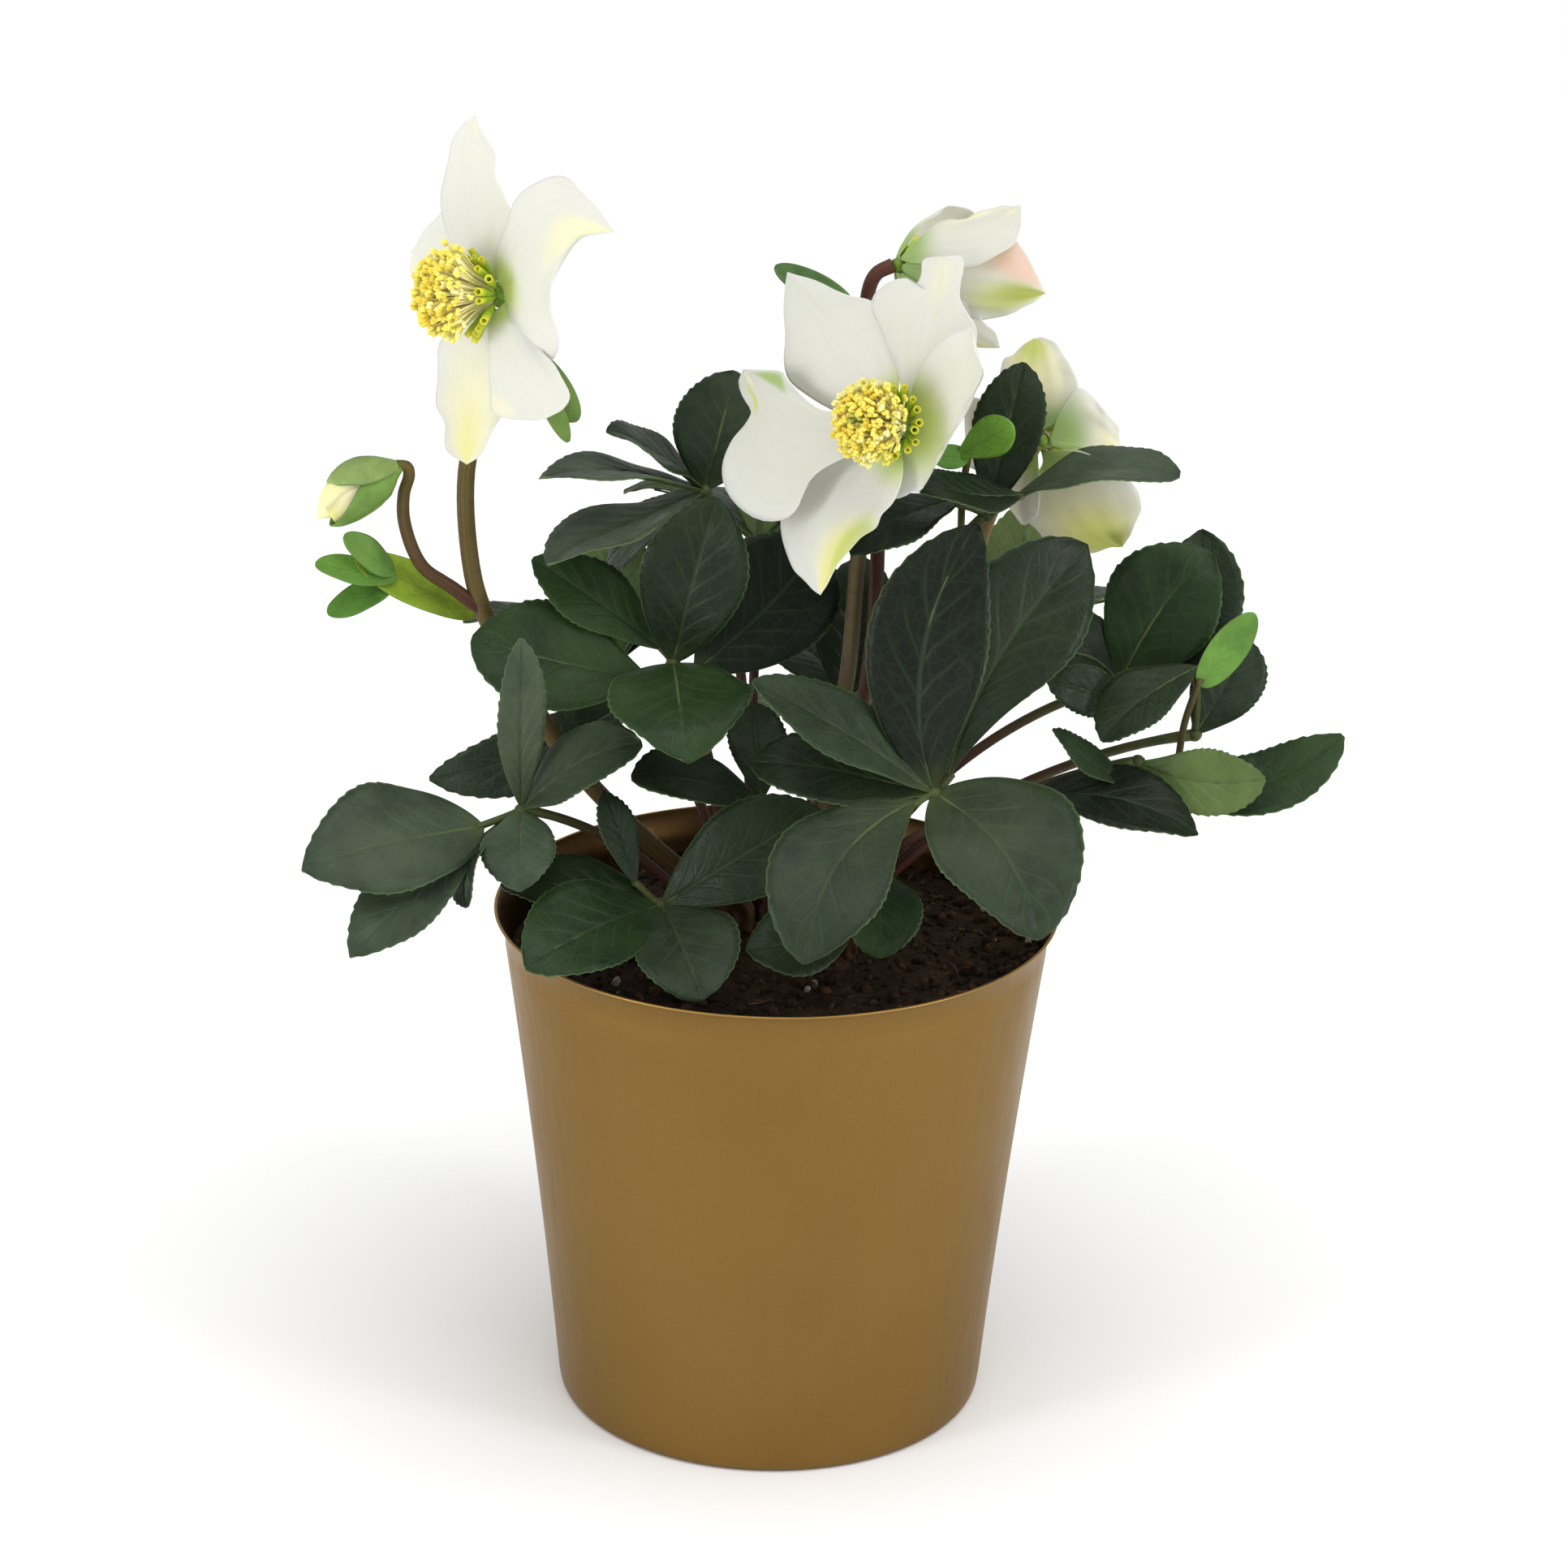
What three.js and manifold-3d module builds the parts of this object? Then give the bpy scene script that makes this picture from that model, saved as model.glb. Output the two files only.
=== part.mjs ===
// A Christmas rose (Helleborus niger) in flower, growing in a satin gold cover pot.
//
// Millimetres, +Z up. The origin is the centre of the pot's underside, +X is the plant's right
// and +Y its back. Every leaf, stem, sepal and bract is a closed solid of its own.

import * as THREE from "three";
import { mergeVertices } from "three/addons/utils/BufferGeometryUtils.js";
import Module from "manifold-3d";

const wasm = await Module();
wasm.setup();

// ---------------------------------------------------------------- driving dimensions

const POT = {
  height: 130,
  wall: 0.8,
  baseRadius: 53.8, // outside, just above the rounded foot
  shoulderRadius: 67.2, // outside, where the lip begins to flare
  shoulderHeight: 121,
  lipRadius: 70,
  hollow: 0.7, // how far the wall bows in half way up
  footRounding: 1.5,
  sides: 36,
};

const SOIL = { top: 118, dome: 1.5 };
const CROWN = { radius: 25, top: 121 };

const CLEARANCE = 0.3; // between pieces that touch

const LEAF = { thickness: 0.9, petioleRadius: 1.3, petioluleRadius: 0.9, hubRadius: 2 };
const SEPAL = { thickness: 0.7, footRadius: 3.6, footWidth: 2.4, belly: 1.15, fullness: 0.6, twist: 7 };

// The middle of a flower, as radii and levels along its axis from the plane of the sepals' feet.
const RECEPTACLE = { radius: 3, depth: 4 };
const PISTIL = { radius: 1.6, height: 16 };
const NECTARY_RING = [
  [3.5, 1],
  [6, 2],
  [10, 5],
  [9.5, 7],
  [6, 6],
  [3.6, 4],
  [3.5, 1],
];
const STAMEN_BOSS = [
  [2, 0.6],
  [3.1, 0.6],
  [3.6, 5.3],
  [10.5, 11],
  [11.3, 14],
  [8, 17.5],
  [3, 17],
  [2, 8],
  [2, 0.6],
];

const COLOURS = {
  pot: "#93733d",
  soil: "#2a1f19",
  crown: "#3d2c1d",
  leaf: "#24382b",
  stem: "#66713a",
  sepal: "#f1f0e6",
  nectary: "#7f9e3a",
  stamens: "#f3efc4",
  budSepal: "#9db05a",
  bract: "#7f9a3c",
};

// Directions that an upper face looks towards; each is made square to its own blade.
const FACING = {
  up: [0, 0, 1],
  upFront: [0, -0.4, 1],
  front: [0, -1, 0.3],
  slopeFront: [0, -0.8, 1],
  steep: [0, -1, 0.9],
  right: [0.2, -1, 0.2],
};

// Leaves: the foot on the crown [x, y], the hub where the leaflets spring, and the leaflets.
// A leaflet runs from the hub (or from its own start beside it) to its tip, both measured from
// the hub. arch lifts the middle of the midrib towards the upper face, bend moves it sideways,
// and belly says where the leaflet is widest: 1 is the middle, more is nearer the tip.
const LEAVES = {
  leaf_top_left: {
    foot: [-6, 12],
    hub: [-19, 12, 233],
    leaflets: [
      { to: [7, 4, 29], width: 23, arch: 2, face: [0, -1, 0.4], belly: 1.2 },
      { to: [11, 20, 8], width: 18, arch: 2, face: [-1, -0.2, 0.2] },
      { to: [-23, -8, 18], width: 20, arch: 1, face: [0, -0.15, 1] },
      { to: [-39, -18, 9], width: 21, arch: 2, face: FACING.up },
      { to: [-37, -26, -10], width: 24, face: FACING.up, belly: 1.5 },
      { to: [-26, 14, -24], width: 20, arch: 1, face: [0, -0.5, 1] },
    ],
  },
  leaf_centre_left: {
    foot: [-12, -2],
    hub: [-26, -4, 194],
    leaflets: [
      { to: [10, -3, 43], width: 26, arch: 3, face: [-0.1, -1, 0.25], belly: 1.2 },
      { start: [-2, 1, 3], to: [-34, 4, 25], width: 17, face: [0.3, -1, 0.9] },
      {
        start: [-5, -1, -4],
        to: [-48, -8, 9],
        width: 28,
        arch: 2,
        bend: -2,
        face: FACING.steep,
        belly: 1.4,
      },
      { to: [4, -38, -10], width: 34, arch: 4, face: [0, -0.6, 1], belly: 1.2 },
      { start: [5, 0, -2], to: [36, 12, 28], width: 32, arch: 3, bend: 1, face: [0.3, -1, 0.35] },
      { start: [-6, 12, -10], to: [-61, 16, -37], width: 16, bend: -4, face: FACING.front },
    ],
  },
  leaf_centre_back: {
    foot: [6, 12],
    hub: [15, 14, 179],
    leaflets: [
      { to: [5, 8, 35], width: 21, arch: 3, face: [0.2, -1, 0.3] },
      { to: [-12, 22, 6], width: 22, arch: 4, face: [0, -0.1, 1] },
      { to: [13, 34, 2], width: 24, arch: 4, face: [0, -0.1, 1] },
    ],
  },
  leaf_front_right: {
    foot: [13, -17],
    hub: [37, -34, 173],
    leaflets: [
      { to: [9, 12, 63], width: 28, arch: 3, bend: -8, face: [-0.1, -1, 0.3], belly: 1.15 },
      {
        start: [3, 2, 1],
        to: [36, 14, 56],
        width: 30,
        arch: 3,
        bend: -6,
        face: FACING.right,
        belly: 1.8,
      },
      { to: [-43, -6, 30], width: 18, arch: 1, face: [0.2, -0.7, 1] },
      { to: [-44, 4, 6], width: 20, arch: 2, face: [0.1, -0.7, 1] },
      { start: [-4, -2, -1], to: [-30, -40, -27], width: 28, arch: 4, bend: 6, face: FACING.slopeFront },
      { to: [25, -32, -23], width: 36, arch: 4, bend: -3, face: [0.1, -0.8, 1], belly: 1 },
    ],
  },
  leaf_low_centre: {
    foot: [7, -11],
    hub: [25, -20, 147],
    leaflets: [
      { to: [0, -22, -13], width: 19, arch: 2, face: FACING.slopeFront },
      { start: [-6, -10, -7], to: [-32, -24, -10], width: 20, bend: -3, face: FACING.slopeFront },
    ],
  },
  leaf_front_left: {
    foot: [-12, -12],
    hub: [-28, -24, 139],
    leaflets: [
      { to: [-31, -30, -3], width: 26, arch: 2, face: FACING.slopeFront, belly: 1.2 },
      { to: [11, -32, -10], width: 26, arch: 2, face: FACING.slopeFront },
      { to: [38, 3, 25], width: 24, arch: 3, bend: 1, face: [0, -1, 0.7] },
      { start: [-6, 0, 5], to: [-14, 6, 27], width: 9, arch: 1, face: [0.5, -1, 0.2] },
      { to: [-39, 0, 5], width: 17, arch: 3, face: [0, -0.5, 1] },
    ],
  },
  leaf_low_middle: {
    foot: [-2, -12],
    hub: [-4, -10, 161],
    leaflets: [
      { to: [-31, -14, 12], width: 20, arch: 2, face: FACING.upFront },
      { to: [-3, 16, 20], width: 14, arch: 2, face: FACING.upFront },
    ],
  },
  leaf_left: {
    foot: [-19, -7],
    hub: [-62, -16, 160],
    leaflets: [
      { to: [1, -10, 47], width: 12, arch: 2, bend: -1, face: [0.3, -1, 0.2] },
      { to: [29, -10, 22], width: 19, arch: 4, face: [-0.4, -0.7, 1] },
      { to: [1, -24, -11], width: 18, arch: 2, face: [0, -0.7, 1] },
      { start: [-9, -6, -2], to: [-50, -30, -4], width: 30, arch: 2, face: [-0.1, -0.9, 1], belly: 1 },
      { start: [-11, -8, -6], to: [-38, -42, -21], width: 19, arch: 2, bend: -1, face: [-0.1, -0.5, 1] },
      { start: [-7, -6, -4], to: [-12, -28, -14], width: 11, arch: 2, face: [-1, -0.3, 0.6] },
    ],
  },
  leaf_right: {
    foot: [19, 5],
    hub: [83, 6, 187],
    leaflets: [
      { to: [21, 2, 34], width: 28, arch: 3, bend: -2, face: [-0.2, -1, 0.3] },
      { to: [19, 14, 36], width: 22, arch: 2, bend: 7, face: [-0.2, -1, 0.3] },
      { to: [-23, -8, 7], width: 22, arch: 3, bend: 5, face: [0, -1, 0.7] },
      { start: [3, -8, -2], to: [-19, -20, 8], width: 12, arch: 2, face: [0, -1, 0.4] },
    ],
  },
  leaf_right_outer: {
    foot: [20, -2],
    hub: [101, -4, 178],
    leaflets: [
      { to: [12, 4, 24], width: 18, arch: 2, face: [0.3, -1, 0.4] },
      { start: [0, -4, 19], to: [-24, -16, 4], width: 17, arch: 2, bend: 1, face: [0, -0.5, 1] },
    ],
  },
  leaf_right_low: {
    foot: [18, -9],
    hub: [87, -10, 173],
    leaflets: [
      { to: [30, -10, 0], width: 16, arch: 2, bend: 3, face: [0, -1.2, 0.5] },
      { to: [49, 0, 8], width: 18, arch: -5, bend: 8, face: FACING.slopeFront },
    ],
  },
  leaf_right_front: {
    foot: [13, -5],
    hub: [57, -14, 163],
    leaflets: [
      { to: [44, -16, 0], width: 22, arch: 6, face: [0, -0.35, 1] },
      { start: [30, -4, 6], to: [9, -4, 21], width: 10, arch: -2, face: [0, -0.35, 1] },
    ],
  },
  leaf_top_right: {
    foot: [14, -1],
    hub: [49, 2, 231],
    leaflets: [
      { start: [7, -2, 6], to: [45, -10, 15], width: 22, arch: 3, face: [0, -0.15, 1] },
      { start: [8, -6, 7], to: [-18, -20, 14], width: 16, bend: -2, face: FACING.upFront },
      { to: [8, 8, 36], width: 17, arch: 2, face: [-0.1, -1, 0.3], belly: 1.4 },
      { start: [-7, -2, 4], to: [-33, -22, -3], width: 20, arch: 3, face: [0.1, -0.2, 1] },
    ],
  },
  leaf_back_left: {
    foot: [-13, 9],
    hub: [-42, 40, 178],
    leaflets: [
      { to: [-38, -4, 14], width: 23, arch: 4, face: [-0.3, 0.1, 1] },
      { to: [-30, 28, 6], width: 26, arch: 5, face: [-0.3, 0.6, 1] },
      { to: [2, 42, -4], width: 27, arch: 5, face: [0, 0.8, 1] },
      { to: [26, 24, 16], width: 24, arch: 3, face: [0.3, 0.8, 0.8] },
      { to: [-2, 10, 36], width: 20, arch: 3, face: [0, 1, 0.4] },
    ],
  },
  leaf_back: {
    foot: [6, 20],
    hub: [14, 56, 156],
    leaflets: [
      { to: [-38, 14, 2], width: 25, arch: 5, face: [-0.2, 0.5, 1] },
      { to: [-16, 40, -10], width: 28, arch: 5, face: [-0.1, 0.7, 1] },
      { to: [20, 38, -8], width: 28, arch: 5, face: [0.1, 0.7, 1] },
      { to: [38, 10, 4], width: 24, arch: 4, face: [0.3, 0.5, 1] },
      { to: [2, 20, 30], width: 22, arch: 3, face: [0, 1, 0.6] },
    ],
  },
  leaf_back_right: {
    foot: [15, 12],
    hub: [56, 36, 186],
    leaflets: [
      { to: [38, 6, 12], width: 24, arch: 4, face: [0.3, 0.2, 1] },
      { to: [30, 34, 2], width: 26, arch: 5, face: [0.3, 0.7, 1] },
      { to: [-4, 42, -2], width: 27, arch: 5, face: [0, 0.8, 1] },
      { to: [-28, 20, 12], width: 23, arch: 3, face: [-0.3, 0.8, 0.8] },
      { to: [6, 14, 34], width: 20, arch: 2, face: [0.3, 0.9, 0.4] },
    ],
  },
  leaf_back_high: {
    foot: [-7, 19],
    hub: [-6, 36, 212],
    leaflets: [
      { to: [-34, 8, 12], width: 23, arch: 4, face: [-0.2, 0.3, 1] },
      { to: [-18, 34, 4], width: 25, arch: 5, face: [-0.1, 0.7, 1] },
      { to: [18, 36, 2], width: 25, arch: 5, face: [0.1, 0.7, 1] },
      { to: [36, 8, 10], width: 22, arch: 4, face: [0.2, 0.4, 1] },
      { to: [2, 14, 32], width: 20, arch: 3, face: [0, 1, 0.4] },
    ],
  },
};

// Flowers: the centre where the sepals meet, the axis that the open face looks along, and the
// five sepals in their overlapping order, each by its tip measured from the centre. A sepal's
// foot stands round the axis in the direction of its tip, or of foot. size scales the parts in
// the middle of the flower, face turns a sepal away from the flower's own axis, and twist rolls
// it about its length, in degrees, so that its edges pass over and under its neighbours.
const FLOWERS = {
  left: {
    centre: [-68, -12, 287],
    axis: [-0.93, -0.33, 0.1],
    sepals: [
      { to: [-6, 8, 40], width: 24, arch: -3, bend: -5, face: [-0.8, -0.6, 0.1], twist: 4 },
      { to: [27, -18, 20], width: 22, arch: 3, bend: -7, face: [-0.6, -0.7, 0.4], twist: 0 },
      {
        to: [13, -24, -23],
        width: 24,
        arch: -1,
        face: [-0.5, -0.8, 0.1],
        belly: 2.4,
        fullness: 0.5,
        twist: 0,
      },
      { to: [-7, 2, -42], width: 25, arch: -1, bend: 4, face: [-0.7, -0.7, 0.1], twist: 0 },
      { to: [-22, 31, 2], width: 30, arch: -2 },
    ],
  },
  centre: {
    centre: [27, -22, 260],
    axis: [-0.64, -0.72, 0.27],
    sepals: [
      {
        to: [-27, 24, 30],
        foot: [-25, 23, 32],
        width: 30,
        arch: -3,
        bend: -4,
        belly: 1,
        fullness: 0.7,
        twist: 4,
      },
      { to: [8, -1, 40], width: 29, arch: -3, bend: 1 },
      { to: [18, -26, 18], width: 35, arch: -4, belly: 0.85 },
      { to: [-18, -12, -38], width: 24, arch: -2, bend: 8 },
      { to: [-37, 21, 7], foot: [-40, 21, -16], width: 34, arch: 2, bend: -7, belly: 1.3, twist: 9 },
    ],
  },
  back: {
    centre: [27, 10, 290],
    axis: [0.9, 0.35, -0.15],
    size: 0.6,
    sepals: [
      { to: [28, 4, 14], width: 22, bend: -5, arch: -7, cup: 0.2 },
      { to: [34, -8, -4], width: 20, arch: -5, cup: 0.2 },
      { to: [24, -2, -19], width: 20, arch: -6, cup: 0.2 },
      { to: [18, 22, -14], width: 16, arch: -6, cup: 0.2 },
      { to: [22, 20, 3], width: 16, arch: -7, cup: 0.2 },
    ],
  },
  right: {
    centre: [62, 12, 247],
    axis: [0.5, 0.85, 0.1],
    size: 0.7,
    sepals: [
      { to: [-1, 22, 19], width: 23, arch: -4, bend: -1, face: [0.3, 0.88, -0.1] },
      {
        to: [20, 15, -3],
        foot: [24, 16, 4],
        width: 23,
        arch: -7,
        face: [0.2, 0.88, -0.2],
        belly: 1,
        fullness: 0.7,
      },
      { to: [22, 10, -29], width: 30, arch: -5, fullness: 0.5 },
      { to: [-6, 21, -23], width: 20, arch: -5 },
      { to: [-17, 27, -1], width: 19, arch: -7, twist: 5 },
    ],
  },
};

// Flower stems: the foot on the crown [x, y] and the points that each passes on its way up.
const STEMS = {
  left: {
    foot: [-8, 4],
    path: [
      [-26, 4, 139],
      [-52, 0, 168],
      [-64, 0, 189],
      [-72, 0, 205],
      [-75, 1, 216],
      [-76, 2, 240],
      [-70, 1, 263],
      [-64, -5, 281],
    ],
    radius: 2.2,
    fork: {
      path: [
        [-72, 0, 205],
        [-79, -1, 211],
        [-86, -2, 218],
        [-89, -3, 230],
        [-88, -4, 239],
        [-89, -5, 243],
      ],
      radius: 1.4,
    },
  },
  centre: {
    foot: [2, -6],
    path: [
      [8, -4, 150],
      [16, -4, 190],
      [19, 0, 226],
      [25, -5, 247],
      [33, -15, 257],
    ],
    radius: 2,
  },
  back: {
    foot: [2, 6],
    path: [
      [12, 6, 150],
      [20, 5, 180],
      [23, 6, 216],
      [21, 8, 256],
      [19, 10, 281],
      [21, 9, 288],
    ],
    radius: 1.8,
  },
  right: {
    foot: [8, 1],
    path: [
      [22, 9, 143],
      [38, 12, 172],
      [45, 12, 202],
      [49, 12, 224],
      [54, 10, 237],
    ],
    radius: 1.7,
  },
};

// The closed bud at the end of the left stem's fork.
const BUD = {
  base: [-91, -5, 243],
  tip: [-111, -10, 231],
  profile: [[0, 1], [3.2, 3], [5.2, 9], [4.2, 16], [1.4, 21], [0, 22]],
  sepalLevel: 3,
  footRadius: 3.6,
  sepal: { width: 13, arch: -4.6, cup: 0.35, belly: 0.9, fullness: 0.6 },
};

// Bracts: small simple leaves on the flower stems.
const BRACTS = {
  bract_left: {
    lobes: [
      { start: [-74, 4, 203], to: [-103, 0, 218], width: 12, face: FACING.slopeFront },
      { start: [-94, 1, 214], to: [-105, -4, 225], width: 8, face: FACING.slopeFront },
      { start: [-93, 0, 213], to: [-112, -5, 218], width: 8, face: FACING.slopeFront },
      { start: [-94, 0, 212], to: [-109, -7, 206], width: 8, face: FACING.slopeFront },
    ],
  },
  bract_left_flower: {
    lobes: [
      { start: [-63, -2, 272], to: [-49, -6, 255], width: 9, face: FACING.front },
      { start: [-59, -2, 266], to: [-51, -10, 251], width: 5, face: FACING.front },
    ],
  },
  bract_back_flower: {
    lobes: [{ start: [16, 9, 280], to: [-3, 7, 290], width: 7, face: FACING.front }],
  },
  bract_centre: {
    path: [
      [43, 6, 226],
      [43, 4, 236],
      [44, 0, 247],
    ],
    lobes: [
      { start: [41, 0, 246], to: [54, -6, 256], width: 10, face: FACING.front, belly: 1.8, fullness: 0.5 },
      { start: [44, 0, 246], to: [35, -3, 247], width: 6, face: FACING.front },
    ],
  },
  bract_right: {
    path: [
      [97, -7, 172],
      [98, -9, 183],
      [101, -11, 195],
    ],
    lobes: [{ start: [101, -11, 193], to: [113, -12, 212], width: 9, face: FACING.front }],
  },
};

// ---------------------------------------------------------------- solids

const vector = (p) => new THREE.Vector3(...p);

// A closed three.js geometry as a manifold-3d solid.
function solid(geometry) {
  const bare = geometry.clone();
  bare.deleteAttribute("normal");
  bare.deleteAttribute("uv");
  const merged = mergeVertices(bare, 1e-4);
  return new wasm.Manifold(
    new wasm.Mesh({
      numProp: 3,
      vertProperties: new Float32Array(merged.attributes.position.array),
      triVerts: new Uint32Array(merged.index.array),
    }),
  );
}

// Joins closed geometries into one, as parts of a plant that grew together.
function join(geometries) {
  const joined = geometries.map(solid).reduce((a, b) => a.add(b));
  const mesh = joined.getMesh();
  return new THREE.BufferGeometry()
    .setAttribute("position", new THREE.BufferAttribute(new Float32Array(mesh.vertProperties), 3))
    .setIndex(new THREE.BufferAttribute(new Uint32Array(mesh.triVerts), 1));
}

// The width of a leaflet along its length, from 0 at both ends to 1 at its widest.
function outline(t, belly, fullness) {
  return Math.sin(Math.PI * Math.min(1, Math.max(0, t)) ** belly) ** fullness;
}

// A thin curved blade from start to tip: a box whose grid is laid along the midrib.
function blade({
  start,
  tip,
  width,
  thickness,
  face,
  arch = 0,
  bend = 0,
  belly = 1.3,
  fullness = 0.68,
  cup = 0.12,
  twist = 0,
  footWidth = 1.4,
  tipWidth = 1.4,
  rows = 4,
  columns = 2,
}) {
  const along = tip.clone().sub(start);
  const length = along.length();
  along.normalize();
  const up = vector(face).addScaledVector(along, -vector(face).dot(along)).normalize();
  up.applyAxisAngle(along, THREE.MathUtils.degToRad(twist));
  const side = along.clone().cross(up);
  const midrib = (t) => {
    const swell = 4 * t * (1 - t);
    return start.clone().addScaledVector(along, t * length)
      .addScaledVector(up, arch * swell).addScaledVector(side, bend * swell);
  };
  const geometry = new THREE.BoxGeometry(2, 1, 1, columns, rows, 1);
  const corners = geometry.attributes.position;
  const corner = new THREE.Vector3();
  for (let i = 0; i < corners.count; i++) {
    corner.fromBufferAttribute(corners, i);
    const t = corner.y + 0.5;
    const narrowest = THREE.MathUtils.lerp(footWidth, tipWidth, t) / 2;
    const half = Math.max(narrowest, (width / 2) * outline(t, belly, fullness));
    const slope = (4 * (1 - 2 * t)) / length;
    const across = side.clone().addScaledVector(along, -bend * slope).normalize();
    const point = midrib(t)
      .addScaledVector(across, corner.x * half)
      .addScaledVector(up, corner.x * corner.x * half * cup + corner.z * thickness);
    corners.setXYZ(i, point.x, point.y, point.z);
  }
  return geometry;
}

// A round stalk along a curve, with a flat cut at each end.
function stalk(curve, radius, steps = 5, sides = 5) {
  const section = new THREE.Shape(
    Array.from({ length: sides }, (_, i) => {
      const angle = (2 * Math.PI * i) / sides;
      return new THREE.Vector2(radius * Math.cos(angle), radius * Math.sin(angle));
    }),
  );
  return new THREE.ExtrudeGeometry(section, { steps, extrudePath: curve });
}

const smooth = (points) => new THREE.CatmullRomCurve3(points.map(vector), false, "centripetal");

// The swollen joint where stalks meet.
function knot(position, radius) {
  return new THREE.IcosahedronGeometry(radius, 0).translate(...position);
}

const FOOT_HEIGHT = CROWN.top + CLEARANCE;

// A petiole rises from its foot on the crown and leans over to its hub.
function petioleCurve(foot, hub) {
  const low = new THREE.Vector3(foot[0], foot[1], FOOT_HEIGHT);
  const high = vector(hub);
  const rise = high.z - low.z;
  const first = low.clone().setZ(low.z + 0.45 * rise);
  const second = low.clone().lerp(high, 0.6).setZ(low.z + 0.92 * rise);
  return new THREE.CubicBezierCurve3(low, first, second, high);
}

// ---------------------------------------------------------------- pieces

const plant = new THREE.Group();

function addPiece(name, geometry, colour, { roughness = 0.6, metalness = 0 } = {}) {
  const material = new THREE.MeshStandardMaterial({ color: colour, roughness, metalness });
  const mesh = new THREE.Mesh(geometry, material);
  mesh.name = name;
  plant.add(mesh);
  return mesh;
}

const lathe = (profile, sides) =>
  new THREE.LatheGeometry(profile.map(([r, z]) => new THREE.Vector2(r, z)), sides).rotateX(Math.PI / 2);

// Outside radius of the pot's wall at a height above the foot.
function potRadius(z) {
  if (z > POT.shoulderHeight) {
    const t = (z - POT.shoulderHeight) / (POT.height - POT.shoulderHeight);
    return THREE.MathUtils.lerp(POT.shoulderRadius, POT.lipRadius, t * t);
  }
  const t = z / POT.shoulderHeight;
  return THREE.MathUtils.lerp(POT.baseRadius, POT.shoulderRadius, t) - 4 * POT.hollow * t * (1 - t);
}

function addPot() {
  const heights = [POT.footRounding, 60, POT.shoulderHeight, POT.height];
  const outside = heights.map((z) => [potRadius(z), z]);
  const inside = heights.map((z) => [potRadius(z) - POT.wall, z]).reverse().slice(0, -1);
  const foot = [[0, 0], [POT.baseRadius - POT.footRounding, 0]];
  const floor = [[POT.baseRadius - POT.wall, POT.wall], [0, POT.wall]];
  const profile = [...foot, ...outside, ...inside, ...floor];
  addPiece("pot", lathe(profile, POT.sides), COLOURS.pot, { roughness: 0.38, metalness: 0.9 });
}

function addSoil() {
  const gap = POT.wall + CLEARANCE;
  const profile = [[0, gap], [POT.baseRadius - gap - POT.footRounding, gap]];
  for (const z of [gap + 2, 60, SOIL.top - 2]) profile.push([potRadius(z) - gap, z]);
  const mound = SOIL.top + SOIL.dome;
  profile.push([potRadius(SOIL.top) - gap - 4, SOIL.top], [CROWN.radius + 3, mound], [0, mound]);
  addPiece("soil", lathe(profile, POT.sides), COLOURS.soil, { roughness: 1 });
}

function addCrown() {
  const low = SOIL.top + SOIL.dome + CLEARANCE;
  const profile = [[0, low], [CROWN.radius, low], [CROWN.radius - 1.5, CROWN.top], [0, CROWN.top]];
  addPiece("crown", lathe(profile, 20), COLOURS.crown, { roughness: 0.9 });
}

function addLeaf(name, { foot, hub, leaflets }) {
  const hubPoint = vector(hub);
  const pieces = [stalk(petioleCurve(foot, hub), LEAF.petioleRadius), knot(hub, LEAF.hubRadius)];
  for (const { start, to, ...shape } of leaflets) {
    const from = start ? hubPoint.clone().add(vector(start)) : hubPoint;
    const tip = hubPoint.clone().add(vector(to));
    pieces.push(blade({ start: from, tip, thickness: LEAF.thickness, ...shape }));
    if (start) {
      const into = from.clone().lerp(tip, 0.03);
      pieces.push(stalk(new THREE.LineCurve3(hubPoint, into), LEAF.petioluleRadius, 1, 4));
    }
  }
  addPiece(name, join(pieces), COLOURS.leaf, { roughness: 0.5 });
}

// Turns a shape made around +Z so that it stands on a flower's centre and looks along its axis.
function onFlower(geometry, { centre, axis, size = 1 }) {
  const up = new THREE.Vector3(0, 0, 1);
  const turn = new THREE.Quaternion().setFromUnitVectors(up, vector(axis).normalize());
  return geometry.scale(size, size, size).applyQuaternion(turn).translate(...centre);
}

function addFlower(name, flower) {
  const centre = vector(flower.centre);
  const axis = vector(flower.axis).normalize();
  flower.sepals.forEach(({ to, foot = to, ...shape }, i) => {
    const out = vector(foot).projectOnPlane(axis).normalize();
    const start = centre.clone().addScaledVector(out, SEPAL.footRadius * (flower.size ?? 1));
    const geometry = blade({
      start: start.addScaledVector(axis, -SEPAL.thickness),
      tip: centre.clone().add(vector(to)),
      face: flower.axis,
      columns: 3,
      cup: 0,
      ...SEPAL,
      footWidth: SEPAL.footWidth * (flower.size ?? 1),
      ...shape,
    });
    addPiece(`sepal_${name}_${i + 1}`, geometry, COLOURS.sepal, { roughness: 0.55 });
  });
  addPiece(`nectaries_${name}`, onFlower(lathe(NECTARY_RING, 10), flower), COLOURS.nectary);
  addPiece(`stamens_${name}`, onFlower(lathe(STAMEN_BOSS, 10), flower), COLOURS.stamens);
}

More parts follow.
